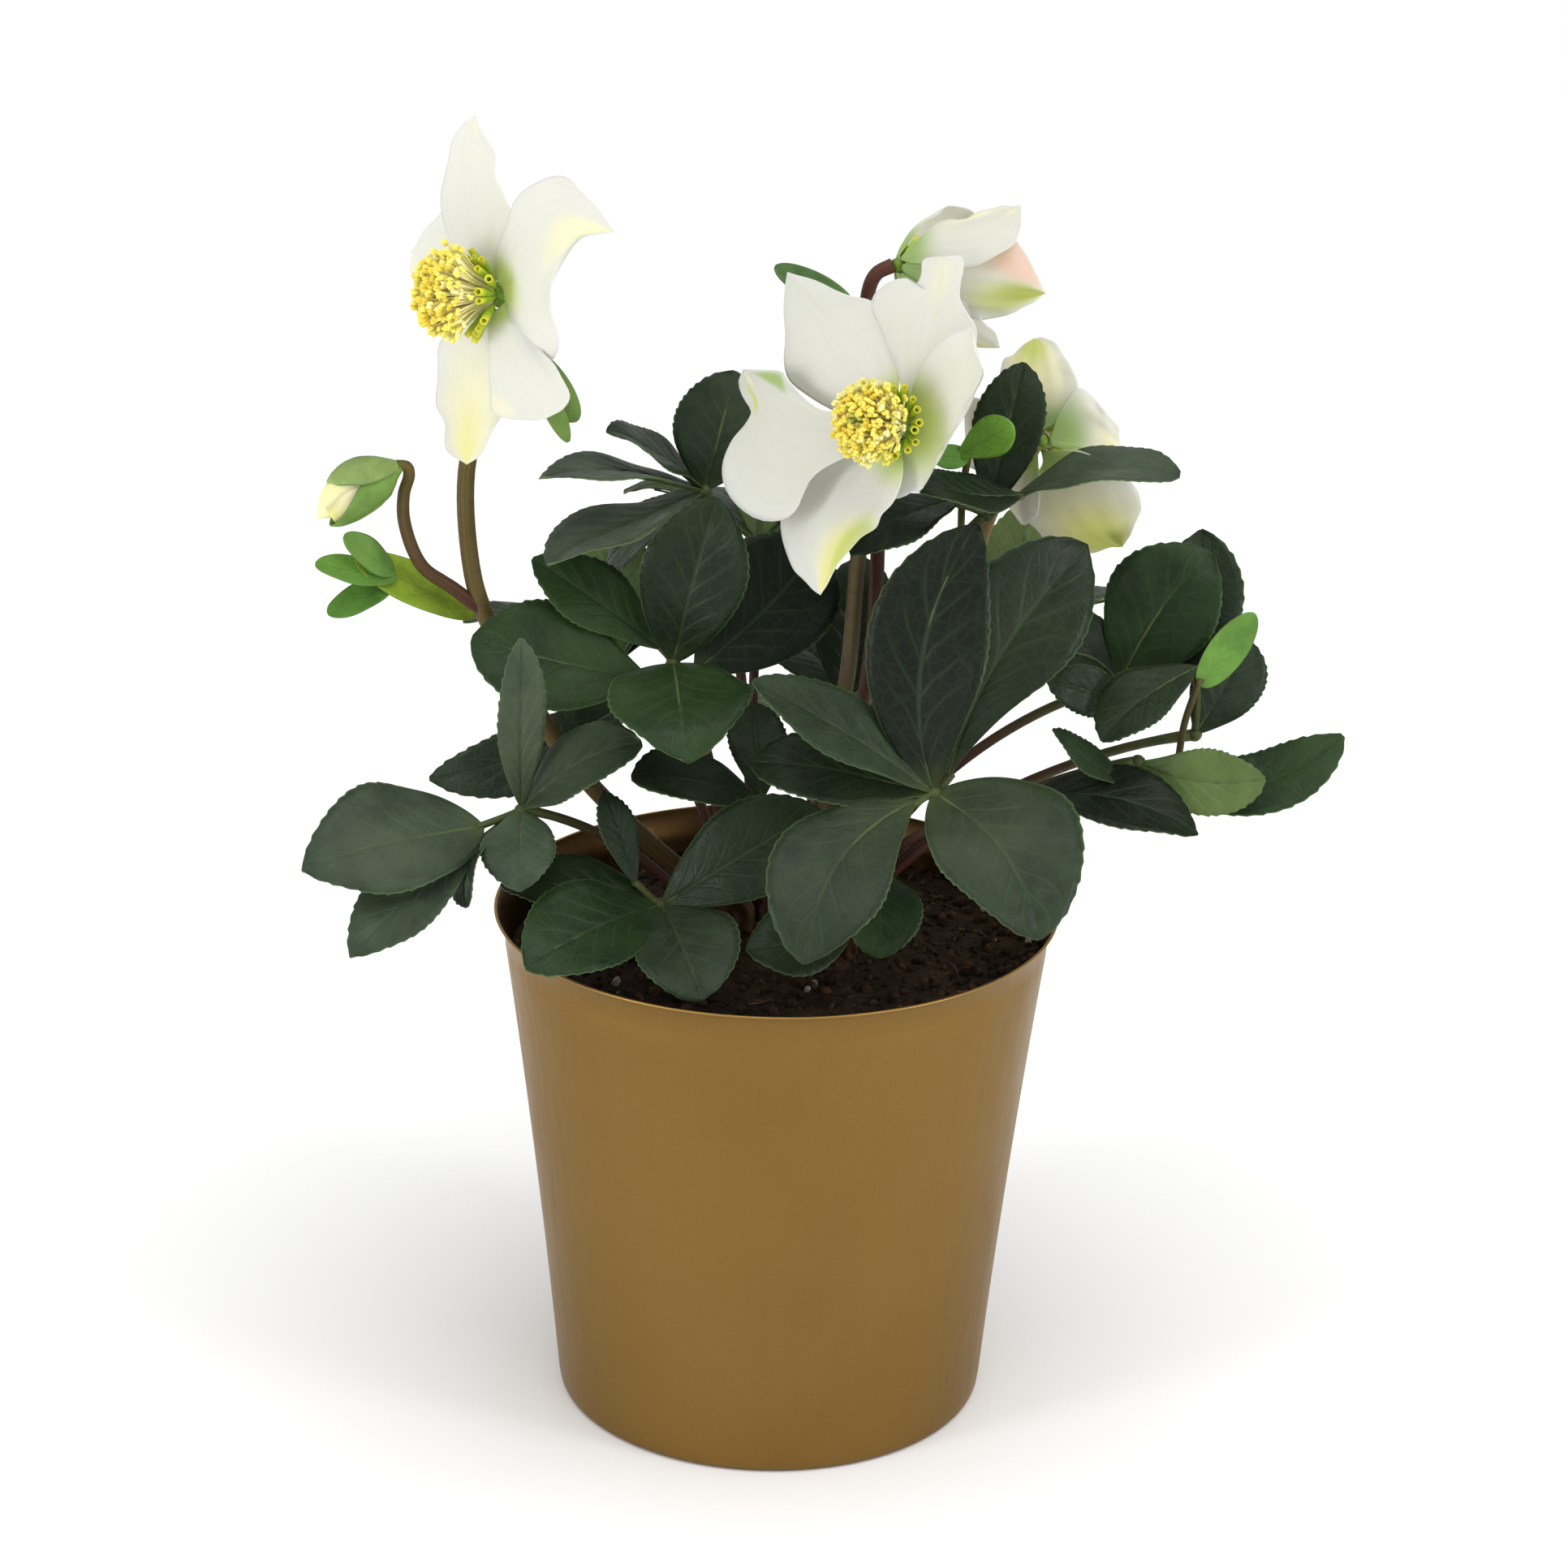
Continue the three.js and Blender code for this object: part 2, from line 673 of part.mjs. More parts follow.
// A flower stem, from its foot on the crown up into the receptacle and pistil of its flower.
function addStem(name, { foot, path, radius, fork }, flower) {
  const { radius: seat, depth } = RECEPTACLE;
  const heart = [[0, -depth], [seat * 0.7, -depth], [seat, 0], [PISTIL.radius, 0]];
  heart.push([PISTIL.radius, PISTIL.height], [0, PISTIL.height]);
  const size = flower.size ?? 1;
  const neck = vector(flower.centre).addScaledVector(vector(flower.axis).normalize(), (0.5 - depth) * size);
  const way = smooth([[...foot, FOOT_HEIGHT], [...foot, FOOT_HEIGHT + 6], ...path, neck.toArray()]);
  const pieces = [stalk(way, radius, 2 * path.length + 3, 6), onFlower(lathe(heart, 8), flower)];
  if (fork) pieces.push(stalk(smooth(fork.path), fork.radius, 2 * fork.path.length, 6));
  addPiece(name, join(pieces), COLOURS.stem, { roughness: 0.55 });
}

function addBud() {
  const base = vector(BUD.base);
  const axis = vector(BUD.tip).sub(base).normalize();
  const up = new THREE.Vector3(0, 0, 1).projectOnPlane(axis).normalize();
  const core = onFlower(lathe(BUD.profile, 10), { centre: BUD.base, axis: axis.toArray() });
  addPiece("bud_core", core, COLOURS.sepal);
  for (const [name, way] of [["bud_sepal_upper", 1], ["bud_sepal_lower", -1]]) {
    const geometry = blade({
      start: base.clone().addScaledVector(axis, BUD.sepalLevel).addScaledVector(up, way * BUD.footRadius),
      tip: vector(BUD.tip).addScaledVector(up, way),
      face: up.clone().multiplyScalar(-way).toArray(),
      thickness: SEPAL.thickness,
      ...BUD.sepal,
    });
    addPiece(name, geometry, COLOURS.budSepal, { roughness: 0.55 });
  }
}

function addBract(name, { path, lobes }) {
  const pieces = path ? [stalk(smooth(path), 0.8, 3, 4)] : [];
  const common = { thickness: SEPAL.thickness, rows: 3 };
  for (const { start, to, ...shape } of lobes) {
    pieces.push(blade({ start: vector(start), tip: vector(to), ...common, ...shape }));
  }
  addPiece(name, join(pieces), COLOURS.bract, { roughness: 0.55 });
}

addPot();
addSoil();
addCrown();
for (const [name, leaf] of Object.entries(LEAVES)) addLeaf(name, leaf);
for (const [name, flower] of Object.entries(FLOWERS)) addFlower(name, flower);
for (const [name, stem] of Object.entries(STEMS)) addStem(`stem_${name}`, stem, FLOWERS[name]);
addBud();
for (const [name, bract] of Object.entries(BRACTS)) addBract(name, bract);

export default plant;
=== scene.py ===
# Looks for a Christmas rose (Helleborus niger) growing in a satin gold cover pot.
#
# Plant places are written in millimetres in the row frame: the origin is the centre of the pot's
# underside, +X right, +Y back, +Z up. They are turned into metres where meshes are made.

import math

import bpy
import numpy as np
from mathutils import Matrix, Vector, noise


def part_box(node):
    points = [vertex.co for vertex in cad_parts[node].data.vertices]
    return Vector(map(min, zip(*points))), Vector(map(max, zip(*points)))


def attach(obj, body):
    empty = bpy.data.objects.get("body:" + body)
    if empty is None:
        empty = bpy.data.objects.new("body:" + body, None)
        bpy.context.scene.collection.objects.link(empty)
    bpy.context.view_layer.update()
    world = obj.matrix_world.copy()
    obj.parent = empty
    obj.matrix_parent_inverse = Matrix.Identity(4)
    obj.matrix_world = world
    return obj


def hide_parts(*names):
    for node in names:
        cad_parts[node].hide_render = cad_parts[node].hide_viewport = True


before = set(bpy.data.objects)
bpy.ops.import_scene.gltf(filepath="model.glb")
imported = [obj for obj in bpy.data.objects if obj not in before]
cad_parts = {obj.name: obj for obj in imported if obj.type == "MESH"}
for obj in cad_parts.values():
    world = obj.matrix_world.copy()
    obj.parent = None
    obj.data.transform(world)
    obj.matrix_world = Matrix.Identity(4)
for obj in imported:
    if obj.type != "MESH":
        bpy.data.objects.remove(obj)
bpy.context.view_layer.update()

MM = 0.001
BODY = "root"
SEED = 8241
rng = np.random.default_rng(SEED)

# ---------------------------------------------------------------- camera

# The photo's camera, fitted to the pot's lip, foot and walls.
CAMERA_PLACE = Vector((1.33, -1005.84, 543.16)) * MM
CAMERA_TARGET = Vector((1.33, 0.0, 161.8)) * MM
CAMERA_ROLL = math.radians(1.0)
CAMERA_LENS = 100.62
SENSOR_WIDTH = 36.0

camera_data = bpy.data.cameras.new("camera")
camera_data.lens = CAMERA_LENS
camera_data.sensor_width = SENSOR_WIDTH
camera_data.clip_end = 50
camera = bpy.data.objects.new("camera", camera_data)
bpy.context.scene.collection.objects.link(camera)
camera.location = CAMERA_PLACE
camera.rotation_euler = (CAMERA_TARGET - CAMERA_PLACE).to_track_quat("-Z", "Y").to_euler()
camera.rotation_euler.rotate_axis("Z", CAMERA_ROLL)
bpy.context.scene.camera = camera

# ---------------------------------------------------------------- the plant's layout

# Ways that the upper face of a leaflet or bract looks.
UP = (0, 0, 1)
UP_FRONT = (0, -0.4, 1)
FRONT = (0, -1, 0.3)
SLOPE_FRONT = (0, -0.8, 1)
STEEP = (0, -1, 0.9)
RIGHT = (0.2, -1, 0.2)

# Leaves: foot is the petiole's place on the crown, hub the point where the leaflets meet, and
# start and to run from the hub. arch and bend bow a leaflet upwards and sideways.
LEAVES = {
    "leaf_top_left": dict(
        foot=(-6, 12), hub=(-19, 12, 233),
        leaflets=[
            dict(to=(7, 4, 29), width=23, arch=2, face=(0, -1, 0.4), belly=1.2),
            dict(to=(11, 20, 8), width=18, arch=2, face=(-1, -0.2, 0.2)),
            dict(to=(-23, -8, 18), width=20, arch=1, face=(0, -0.15, 1)),
            dict(to=(-39, -18, 9), width=21, arch=2, face=UP),
            dict(to=(-37, -26, -10), width=24, face=UP, belly=1.5),
            dict(to=(-26, 14, -24), width=20, arch=1, face=(0, -0.5, 1)),
        ],
    ),
    "leaf_centre_left": dict(
        foot=(-12, -2), hub=(-26, -4, 194),
        leaflets=[
            dict(to=(10, -3, 43), width=26, arch=3, face=(-0.1, -1, 0.25), belly=1.2),
            dict(start=(-2, 1, 3), to=(-34, 4, 25), width=17, face=(0.3, -1, 0.9)),
            dict(start=(-5, -1, -4), to=(-48, -8, 9), width=28, arch=2, bend=-2, face=STEEP, belly=1.4),
            dict(to=(4, -38, -10), width=34, arch=4, face=(0, -0.6, 1), belly=1.2),
            dict(start=(5, 0, -2), to=(36, 12, 28), width=32, arch=3, bend=1, face=(0.3, -1, 0.35)),
            dict(start=(-6, 12, -10), to=(-61, 16, -37), width=16, bend=-4, face=FRONT),
        ],
    ),
    "leaf_centre_back": dict(
        foot=(6, 12), hub=(15, 14, 179),
        leaflets=[
            dict(to=(5, 8, 35), width=21, arch=3, face=(0.2, -1, 0.3)),
            dict(to=(-12, 22, 6), width=22, arch=4, face=(0, -0.1, 1)),
            dict(to=(13, 34, 2), width=24, arch=4, face=(0, -0.1, 1)),
        ],
    ),
    "leaf_front_right": dict(
        foot=(13, -17), hub=(37, -34, 173),
        leaflets=[
            dict(to=(9, 12, 63), width=28, arch=3, bend=-8, face=(-0.1, -1, 0.3), belly=1.15),
            dict(start=(3, 4, 1), to=(36, 19, 56), width=30, arch=3, bend=-6, face=RIGHT, belly=1.8),
            dict(to=(-43, -6, 30), width=18, arch=1, face=(0.2, -0.7, 1)),
            dict(to=(-44, 4, 6), width=20, arch=2, face=(0.1, -0.7, 1)),
            dict(start=(-4, -2, -1), to=(-30, -40, -27), width=28, arch=4, bend=6, face=SLOPE_FRONT),
            dict(to=(25, -32, -23), width=36, arch=4, bend=-3, face=(0.1, -0.8, 1), belly=1),
        ],
    ),
    "leaf_low_centre": dict(
        foot=(7, -11), hub=(25, -20, 147),
        leaflets=[
            dict(to=(0, -22, -13), width=19, arch=2, face=SLOPE_FRONT),
            dict(start=(-6, -10, -7), to=(-32, -24, -10), width=20, bend=-3, face=SLOPE_FRONT),
        ],
    ),
    "leaf_front_left": dict(
        foot=(-12, -12), hub=(-28, -24, 139),
        leaflets=[
            dict(to=(-31, -30, -3), width=26, arch=2, face=SLOPE_FRONT, belly=1.2),
            dict(to=(11, -32, -10), width=26, arch=2, face=SLOPE_FRONT),
            dict(to=(38, 3, 25), width=24, arch=3, bend=1, face=(0, -1, 0.7)),
            dict(start=(-6, 0, 5), to=(-14, 6, 27), width=9, arch=1, face=(0.5, -1, 0.2)),
            dict(to=(-39, 0, 5), width=17, arch=3, face=(0, -0.5, 1)),
        ],
    ),
    "leaf_low_middle": dict(
        foot=(-2, -12), hub=(-4, -10, 161),
        leaflets=[
            dict(to=(-31, -14, 12), width=20, arch=2, face=UP_FRONT),
            dict(to=(-3, 16, 20), width=14, arch=2, face=UP_FRONT),
        ],
    ),
    "leaf_left": dict(
        foot=(-19, -7), hub=(-62, -16, 160),
        leaflets=[
            dict(to=(1, -10, 47), width=12, arch=2, bend=-1, face=(0.3, -1, 0.2)),
            dict(to=(29, -10, 22), width=19, arch=4, face=(-0.4, -0.7, 1)),
            dict(to=(1, -24, -11), width=18, arch=2, face=(0, -0.7, 1)),
            dict(start=(-9, -6, -2), to=(-50, -30, -4), width=30, arch=2, face=(-0.1, -0.9, 1), belly=1),
            dict(
                start=(-11, -8, -6), to=(-38, -42, -21), width=19, arch=2, bend=-1, face=(-0.1, -0.5, 1),
            ),
            dict(start=(-7, -6, -4), to=(-12, -28, -14), width=11, arch=2, face=(-1, -0.3, 0.6)),
        ],
    ),
    "leaf_right": dict(
        foot=(19, 5), hub=(83, 6, 187),
        leaflets=[
            dict(to=(21, 2, 34), width=28, arch=3, bend=-2, face=(-0.2, -1, 0.3)),
            dict(to=(19, 14, 36), width=22, arch=2, bend=7, face=(-0.2, -1, 0.3)),
            dict(to=(-23, -8, 7), width=22, arch=3, bend=5, face=(0, -1, 0.7)),
            dict(start=(3, -8, -2), to=(-19, -20, 8), width=12, arch=2, face=(0, -1, 0.4)),
        ],
    ),
    "leaf_right_outer": dict(
        foot=(20, -2), hub=(101, -4, 178),
        leaflets=[
            dict(to=(12, 4, 24), width=18, arch=2, face=(0.3, -1, 0.4)),
            dict(start=(0, -4, 19), to=(-24, -16, 4), width=17, arch=2, bend=1, face=(0, -0.5, 1)),
        ],
    ),
    "leaf_right_low": dict(
        foot=(18, -9), hub=(87, -10, 173),
        leaflets=[
            dict(to=(30, -10, 0), width=16, arch=2, bend=3, face=(0, -1.2, 0.5)),
            dict(to=(49, 0, 8), width=18, arch=-5, bend=8, face=SLOPE_FRONT),
        ],
    ),
    "leaf_right_front": dict(
        foot=(13, -5), hub=(57, -14, 163),
        leaflets=[
            dict(to=(44, -16, 0), width=22, arch=6, face=(0, -0.35, 1)),
            dict(start=(30, -4, 6), to=(9, -4, 21), width=10, arch=-2, face=(0, -0.35, 1)),
        ],
    ),
    "leaf_top_right": dict(
        foot=(14, -1), hub=(49, 2, 231),
        leaflets=[
            dict(start=(7, -2, 6), to=(45, -10, 15), width=22, arch=3, face=(0, -0.15, 1)),
            dict(start=(8, -6, 7), to=(-18, -20, 14), width=16, bend=-2, face=UP_FRONT),
            dict(to=(8, 8, 36), width=17, arch=2, face=(-0.1, -1, 0.3), belly=1.4),
            dict(start=(-7, -2, 4), to=(-33, -22, -3), width=20, arch=3, face=(0.1, -0.2, 1)),
        ],
    ),
    "leaf_back_left": dict(
        foot=(-13, 9), hub=(-42, 40, 178),
        leaflets=[
            dict(to=(-38, -4, 14), width=23, arch=4, face=(-0.3, 0.1, 1)),
            dict(to=(-30, 28, 6), width=26, arch=5, face=(-0.3, 0.6, 1)),
            dict(to=(2, 42, -4), width=27, arch=5, face=(0, 0.8, 1)),
            dict(to=(26, 24, 16), width=24, arch=3, face=(0.3, 0.8, 0.8)),
            dict(to=(-2, 10, 36), width=20, arch=3, face=(0, 1, 0.4)),
        ],
    ),
    "leaf_back": dict(
        foot=(6, 20), hub=(14, 56, 156),
        leaflets=[
            dict(to=(-38, 14, 2), width=25, arch=5, face=(-0.2, 0.5, 1)),
            dict(to=(-16, 40, -10), width=28, arch=5, face=(-0.1, 0.7, 1)),
            dict(to=(20, 38, -8), width=28, arch=5, face=(0.1, 0.7, 1)),
            dict(to=(38, 10, 4), width=24, arch=4, face=(0.3, 0.5, 1)),
            dict(to=(2, 20, 30), width=22, arch=3, face=(0, 1, 0.6)),
        ],
    ),
    "leaf_back_right": dict(
        foot=(15, 12), hub=(56, 36, 186),
        leaflets=[
            dict(to=(38, 6, 12), width=24, arch=4, face=(0.3, 0.2, 1)),
            dict(to=(30, 34, 2), width=26, arch=5, face=(0.3, 0.7, 1)),
            dict(to=(-4, 42, -2), width=27, arch=5, face=(0, 0.8, 1)),
            dict(to=(-28, 20, 12), width=23, arch=3, face=(-0.3, 0.8, 0.8)),
            dict(to=(6, 14, 34), width=20, arch=2, face=(0.3, 0.9, 0.4)),
        ],
    ),
    "leaf_back_high": dict(
        foot=(-7, 19), hub=(-6, 36, 212),
        leaflets=[
            dict(to=(-34, 8, 12), width=23, arch=4, face=(-0.2, 0.3, 1)),
            dict(to=(-18, 34, 4), width=25, arch=5, face=(-0.1, 0.7, 1)),
            dict(to=(18, 36, 2), width=25, arch=5, face=(0.1, 0.7, 1)),
            dict(to=(36, 8, 10), width=22, arch=4, face=(0.2, 0.4, 1)),
            dict(to=(2, 14, 32), width=20, arch=3, face=(0, 1, 0.4)),
        ],
    ),
}

# Flower stems: foot on the crown, path up to the flower, and radius. The left stem's fork carries
# the bud.
STEMS = {
    "left": dict(
        foot=(-8, 4), radius=2.2,
        path=[
            (-26, 4, 139), (-52, 0, 168), (-64, 0, 189), (-72, 0, 205), (-75, 1, 216), (-76, 2, 240),
            (-70, 1, 263), (-64, -5, 281),
        ],
        fork_radius=1.4,
        fork=[
            (-72, 0, 205), (-79, -1, 211), (-86.6, -2, 217), (-90.6, -3, 228), (-90.6, -3.8, 235.5),
            (-89.2, -4.8, 240.6), (-89.6, -5.1, 242.8), (-92.2, -5.4, 243.4),
        ],
    ),
    "centre": dict(
        foot=(2, -6), radius=2,
        path=[(8, -4, 150), (16, -4, 190), (19, 0, 226), (25, -5, 247), (33, -15, 257)],
    ),
    "back": dict(
        foot=(2, 6), radius=1.8,
        path=[(12, 6, 150), (20, 5, 180), (23, 6, 216), (21, 8, 256), (19, 10, 281), (21, 9, 288)],
    ),
    "right": dict(
        foot=(8, 1), radius=1.7,
        path=[(22, 9, 143), (38, 12, 172), (45, 12, 202), (49, 12, 224), (54, 10, 237)],
    ),
}

BUD = dict(base=(-91, -5, 243), tip=(-111, -10, 231))

# Bracts: lobes on an optional stalk.
BRACTS = {
    "bract_left": dict(
        lobes=[
            dict(start=(-74, 4, 203), to=(-103, 0, 218), width=12, face=SLOPE_FRONT),
            dict(start=(-94, 1, 214), to=(-105, -4, 225), width=8, face=SLOPE_FRONT),
            dict(start=(-93, 0, 213), to=(-112, -5, 218), width=8, face=SLOPE_FRONT),
            dict(start=(-94, 0, 212), to=(-109, -7, 206), width=8, face=SLOPE_FRONT),
        ],
    ),
    "bract_left_flower": dict(
        lobes=[
            dict(start=(-63, -2, 272), to=(-49, -6, 255), width=9, face=FRONT),
            dict(start=(-59, -2, 266), to=(-51, -10, 251), width=5, face=FRONT),
        ],
    ),
    "bract_back_flower": dict(
        lobes=[
            dict(start=(16, 9, 280), to=(-3, 7, 290), width=7, face=FRONT),
        ],
    ),
    "bract_centre": dict(
        path=[(43, 6, 226), (43, 4, 236), (44, 0, 247)],
        lobes=[
            dict(start=(41, 0, 246), to=(54, -6, 256), width=10, face=FRONT, belly=1.8, fullness=0.5),
            dict(start=(44, 0, 246), to=(35, -3, 247), width=6, face=FRONT),
        ],
    ),
    "bract_right": dict(
        path=[(97, -7, 172), (98, -9, 183), (101, -11, 195)],
        lobes=[
            dict(start=(101, -11, 193), to=(113, -12, 212), width=9, face=FRONT),
        ],
    ),
}

# ---------------------------------------------------------------- measures of pot, soil and crown


def extent(node, axis):
    """How far a CAD node reaches along +X, +Y or +Z (axis 0, 1 or 2), in mm to a tenth."""
    return round(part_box(node)[1][axis] / MM, 1)


POT_HEIGHT = extent("pot", 2)
POT_LIP_RADIUS = extent("pot", 0)
POT_WALL = 0.8
POT_BASE_RADIUS = 53.8
POT_SHOULDER_RADIUS = 67.2
POT_SHOULDER_HEIGHT = 121
POT_HOLLOW = 0.7
SOIL_DOME = 1.5
SOIL_TOP = extent("soil", 2) - SOIL_DOME
CROWN_TOP = extent("crown", 2)
CROWN_RADIUS = extent("crown", 0)
FOOT_HEIGHT = CROWN_TOP + 0.3  # where petioles and stems start


def unit(v):
    v = np.asarray(v, float)
    return v / np.linalg.norm(v)


def srgb(red, green, blue):
    """Linear colour of an 8-bit screen colour."""
    c = np.array([red, green, blue], float) / 255
    return np.where(c <= 0.04045, c / 12.92, ((c + 0.055) / 1.055) ** 2.4)


def smoothstep(low, high, x):
    x = np.clip((x - low) / (high - low), 0, 1)
    return x * x * (3 - 2 * x)


def blend(first, second, share):
    """The first colour where share is 0, turning into the second where it is 1."""
    return first * (1 - share) + second * share


def full_turn(sides):
    """Angles of evenly spread points round a circle."""
    return np.linspace(0, 2 * math.pi, sides, endpoint=False)


def spoke(first, second, angle):
    """A direction at an angle in the plane of two directions at right angles to each other."""
    return first * math.cos(angle) + second * math.sin(angle)


# ---------------------------------------------------------------- mesh building


class Shape:
    """Gathers grids, tubes and lumps into one mesh, with a place and a colour at each vertex."""

    def __init__(self):
        self.verts, self.faces, self.slots, self.places, self.paints = [], [], [], [], []
        self.count = 0

    def add(self, verts, faces, slot, place, paint):
        verts = np.asarray(verts, float).reshape(-1, 3)
        self.verts.append(verts)
        for group in faces:
            self.faces.extend((np.asarray(group) + self.count).tolist())
            self.slots.extend([slot] * len(group))
        self.places.append(np.broadcast_to(np.asarray(place, float), verts.shape))
        self.paints.append(np.broadcast_to(np.asarray(paint, float), verts.shape))
        self.count += len(verts)

    def piece(self, node, materials, name=None):
        """Makes the object that takes a CAD node's place."""
        name = name or "plant_" + node
        mesh = bpy.data.meshes.new(name)
        verts = np.concatenate(self.verts) * MM
        mesh.from_pydata(verts.tolist(), [], self.faces)
        mesh.polygons.foreach_set("material_index", self.slots)
        mesh.polygons.foreach_set("use_smooth", [True] * len(self.faces))
        place = mesh.attributes.new("place", "FLOAT_VECTOR", "POINT")
        place.data.foreach_set("vector", np.concatenate(self.places).astype(np.float32).ravel())
        paint = mesh.attributes.new("paint", "FLOAT_COLOR", "POINT")
        rgba = np.concatenate([np.concatenate(self.paints), np.ones((self.count, 1))], 1)
        paint.data.foreach_set("color", rgba.astype(np.float32).ravel())
        mesh.update()
        for material in materials:
            mesh.materials.append(material)
        made = bpy.data.objects.new(name, mesh)
        bpy.context.scene.collection.objects.link(made)
        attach(made, BODY)
        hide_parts(node)
        return made


def grid_quads(rows, columns, flip=False):
    """Quads of a grid of (rows + 1) x (columns + 1) vertices."""
    i, j = np.meshgrid(np.arange(rows), np.arange(columns), indexing="ij")
    a = (i * (columns + 1) + j).ravel()
    quads = np.stack([a, a + 1, a + columns + 2, a + columns + 1], 1)
    return quads[:, ::-1] if flip else quads


def ring_quads(gaps, sides, first=0, inward=False):
    """Quads between neighbouring rings of vertices that each close on themselves."""
    i, j = np.meshgrid(np.arange(gaps), np.arange(sides), indexing="ij")
    a = (first + i * sides + j).ravel()
    b = (first + i * sides + (j + 1) % sides).ravel()
    quads = np.stack([a, b, b + sides, a + sides], 1)
    return quads[:, [0, 3, 2, 1]] if inward else quads


def outline(t, belly, fullness):
    """Width of a blade along its length, 0 at both ends and 1 at its widest."""
    return np.sin(np.pi * np.clip(t, 0, 1) ** belly) ** fullness


def blade_skeleton(start, tip, face, arch, bend, twist, t):
    """Midrib points, side directions and normals of a curved blade at the values t."""
    start, tip = np.asarray(start, float), np.asarray(tip, float)
    along = tip - start
    length = np.linalg.norm(along)
    along = along / length
    up = np.asarray(face, float) - np.dot(face, along) * along
    up = unit(up)
    turn = math.radians(twist)
    up = up * math.cos(turn) + np.cross(along, up) * math.sin(turn)
    side = np.cross(along, up)
    swell = (4 * t * (1 - t))[:, None]
    slope = (4 * (1 - 2 * t) / length)[:, None]
    midrib = start + along * length * t[:, None] + up * arch * swell + side * bend * swell
    across = side - along * bend * slope
    across /= np.linalg.norm(across, axis=1)[:, None]
    tangent = along + up * arch * slope + side * bend * slope
    tangent /= np.linalg.norm(tangent, axis=1)[:, None]
    normal = np.cross(across, tangent)
    return midrib, across, tangent, normal


def vertex_places(u, t, seed):
    """For each vertex of a grid: its share across, its share along and the seed of its blade."""
    return np.stack(np.broadcast_arrays(u, t, np.full((1, 1), seed)), -1).reshape(-1, 3)


def spread(paint, grid):
    """A colour for every point of a grid."""
    return np.broadcast_to(paint, grid.shape).reshape(-1, 3)


def per_ring(paint, sides):
    """One colour for a whole tube, or one for each ring repeated for its vertices."""
    paint = np.asarray(paint, float)
    return np.repeat(paint, sides, 0) if paint.ndim == 2 else paint


def add_sheet(shape, middle, normal, thickness, slots, place, paint, under_paint):
    """A closed thin sheet about a grid of middle points: upper face, underside and rim."""
    rows, columns = middle.shape[0] - 1, middle.shape[1] - 1
    upper = middle + normal * thickness[..., None] / 2
    under = middle - normal * thickness[..., None] / 2
    count = (rows + 1) * (columns + 1)
    shape.add(upper, [grid_quads(rows, columns)], slots[0], place, paint)
    shape.add(under, [grid_quads(rows, columns, flip=True)], slots[1], place, under_paint)
    left = np.arange(rows + 1) * (columns + 1)
    right = left + columns
    base, end = np.arange(columns + 1), rows * (columns + 1) + np.arange(columns + 1)
    rim = []
    for loop, flip in ((left, False), (right, True), (base, True), (end, False)):
        a, b = loop[:-1], loop[1:]
        quad = np.stack([a, b, b + count, a + count], 1)
        rim.append(quad[:, ::-1] if flip else quad)
    shape.faces.extend((np.concatenate(rim) + shape.count - 2 * count).tolist())
    shape.slots.extend([slots[0]] * (2 * rows + 2 * columns))


def add_tube(shape, points, radii, slot, seed, paint, sides=10):
    """A closed tube through points, with a radius at each."""
    points = np.asarray(points, float)
    radii = np.broadcast_to(np.asarray(radii, float), len(points))
    tangent = np.gradient(points, axis=0)
    tangent /= np.linalg.norm(tangent, axis=1)[:, None]
    normal = np.zeros_like(points)
    guide = np.array([0.0, 1.0, 0.0]) if abs(tangent[0][1]) < 0.9 else np.array([1.0, 0.0, 0.0])
    for i, way in enumerate(tangent):
        guide = unit(guide - np.dot(guide, way) * way)
        normal[i] = guide
    binormal = np.cross(tangent, normal)
    angle = full_turn(sides)
    ring = normal[:, None] * np.cos(angle)[:, None] + binormal[:, None] * np.sin(angle)[:, None]
    verts = points[:, None] + ring * radii[:, None, None]
    t = np.linspace(0, 1, len(points))[:, None]
    place = vertex_places(np.abs(angle / math.pi - 1), t, seed)
    last = (len(points) - 1) * sides
    caps = [[range(sides)[::-1]], [range(last, last + sides)]]
    faces = [ring_quads(len(points) - 1, sides), *caps]
    shape.add(verts, faces, slot, place, per_ring(paint, sides))


def add_lump(shape, centre, axes, slot, seed, paint, rings=6, sides=8):
    """A closed rounded lump with three half-axis vectors; the last runs pole to pole."""
    polar = np.linspace(0, math.pi, rings + 1)[1:-1]
    angle = full_turn(sides)
    a, b, c = (np.asarray(axis, float) for axis in axes)
    ring = np.sin(polar)[:, None, None] * (
        a * np.cos(angle)[None, :, None] + b * np.sin(angle)[None, :, None]
    ) - c * np.cos(polar)[:, None, None]
    verts = np.concatenate([[-c], ring.reshape(-1, 3), [c]]) + np.asarray(centre, float)
    first = 1 + np.arange(sides)
    second = 1 + (np.arange(sides) + 1) % sides
    last = 1 + (rings - 2) * sides
    top = len(verts) - 1
    tips = np.concatenate(
        [
            np.stack([np.zeros(sides, int), second, first], 1),
            np.stack([np.full(sides, top), first - 1 + last, second - 1 + last], 1),
        ]
    )
    shape.add(verts, [ring_quads(rings - 2, sides, 1), tips], slot, (0.5, 0.5, seed), paint)


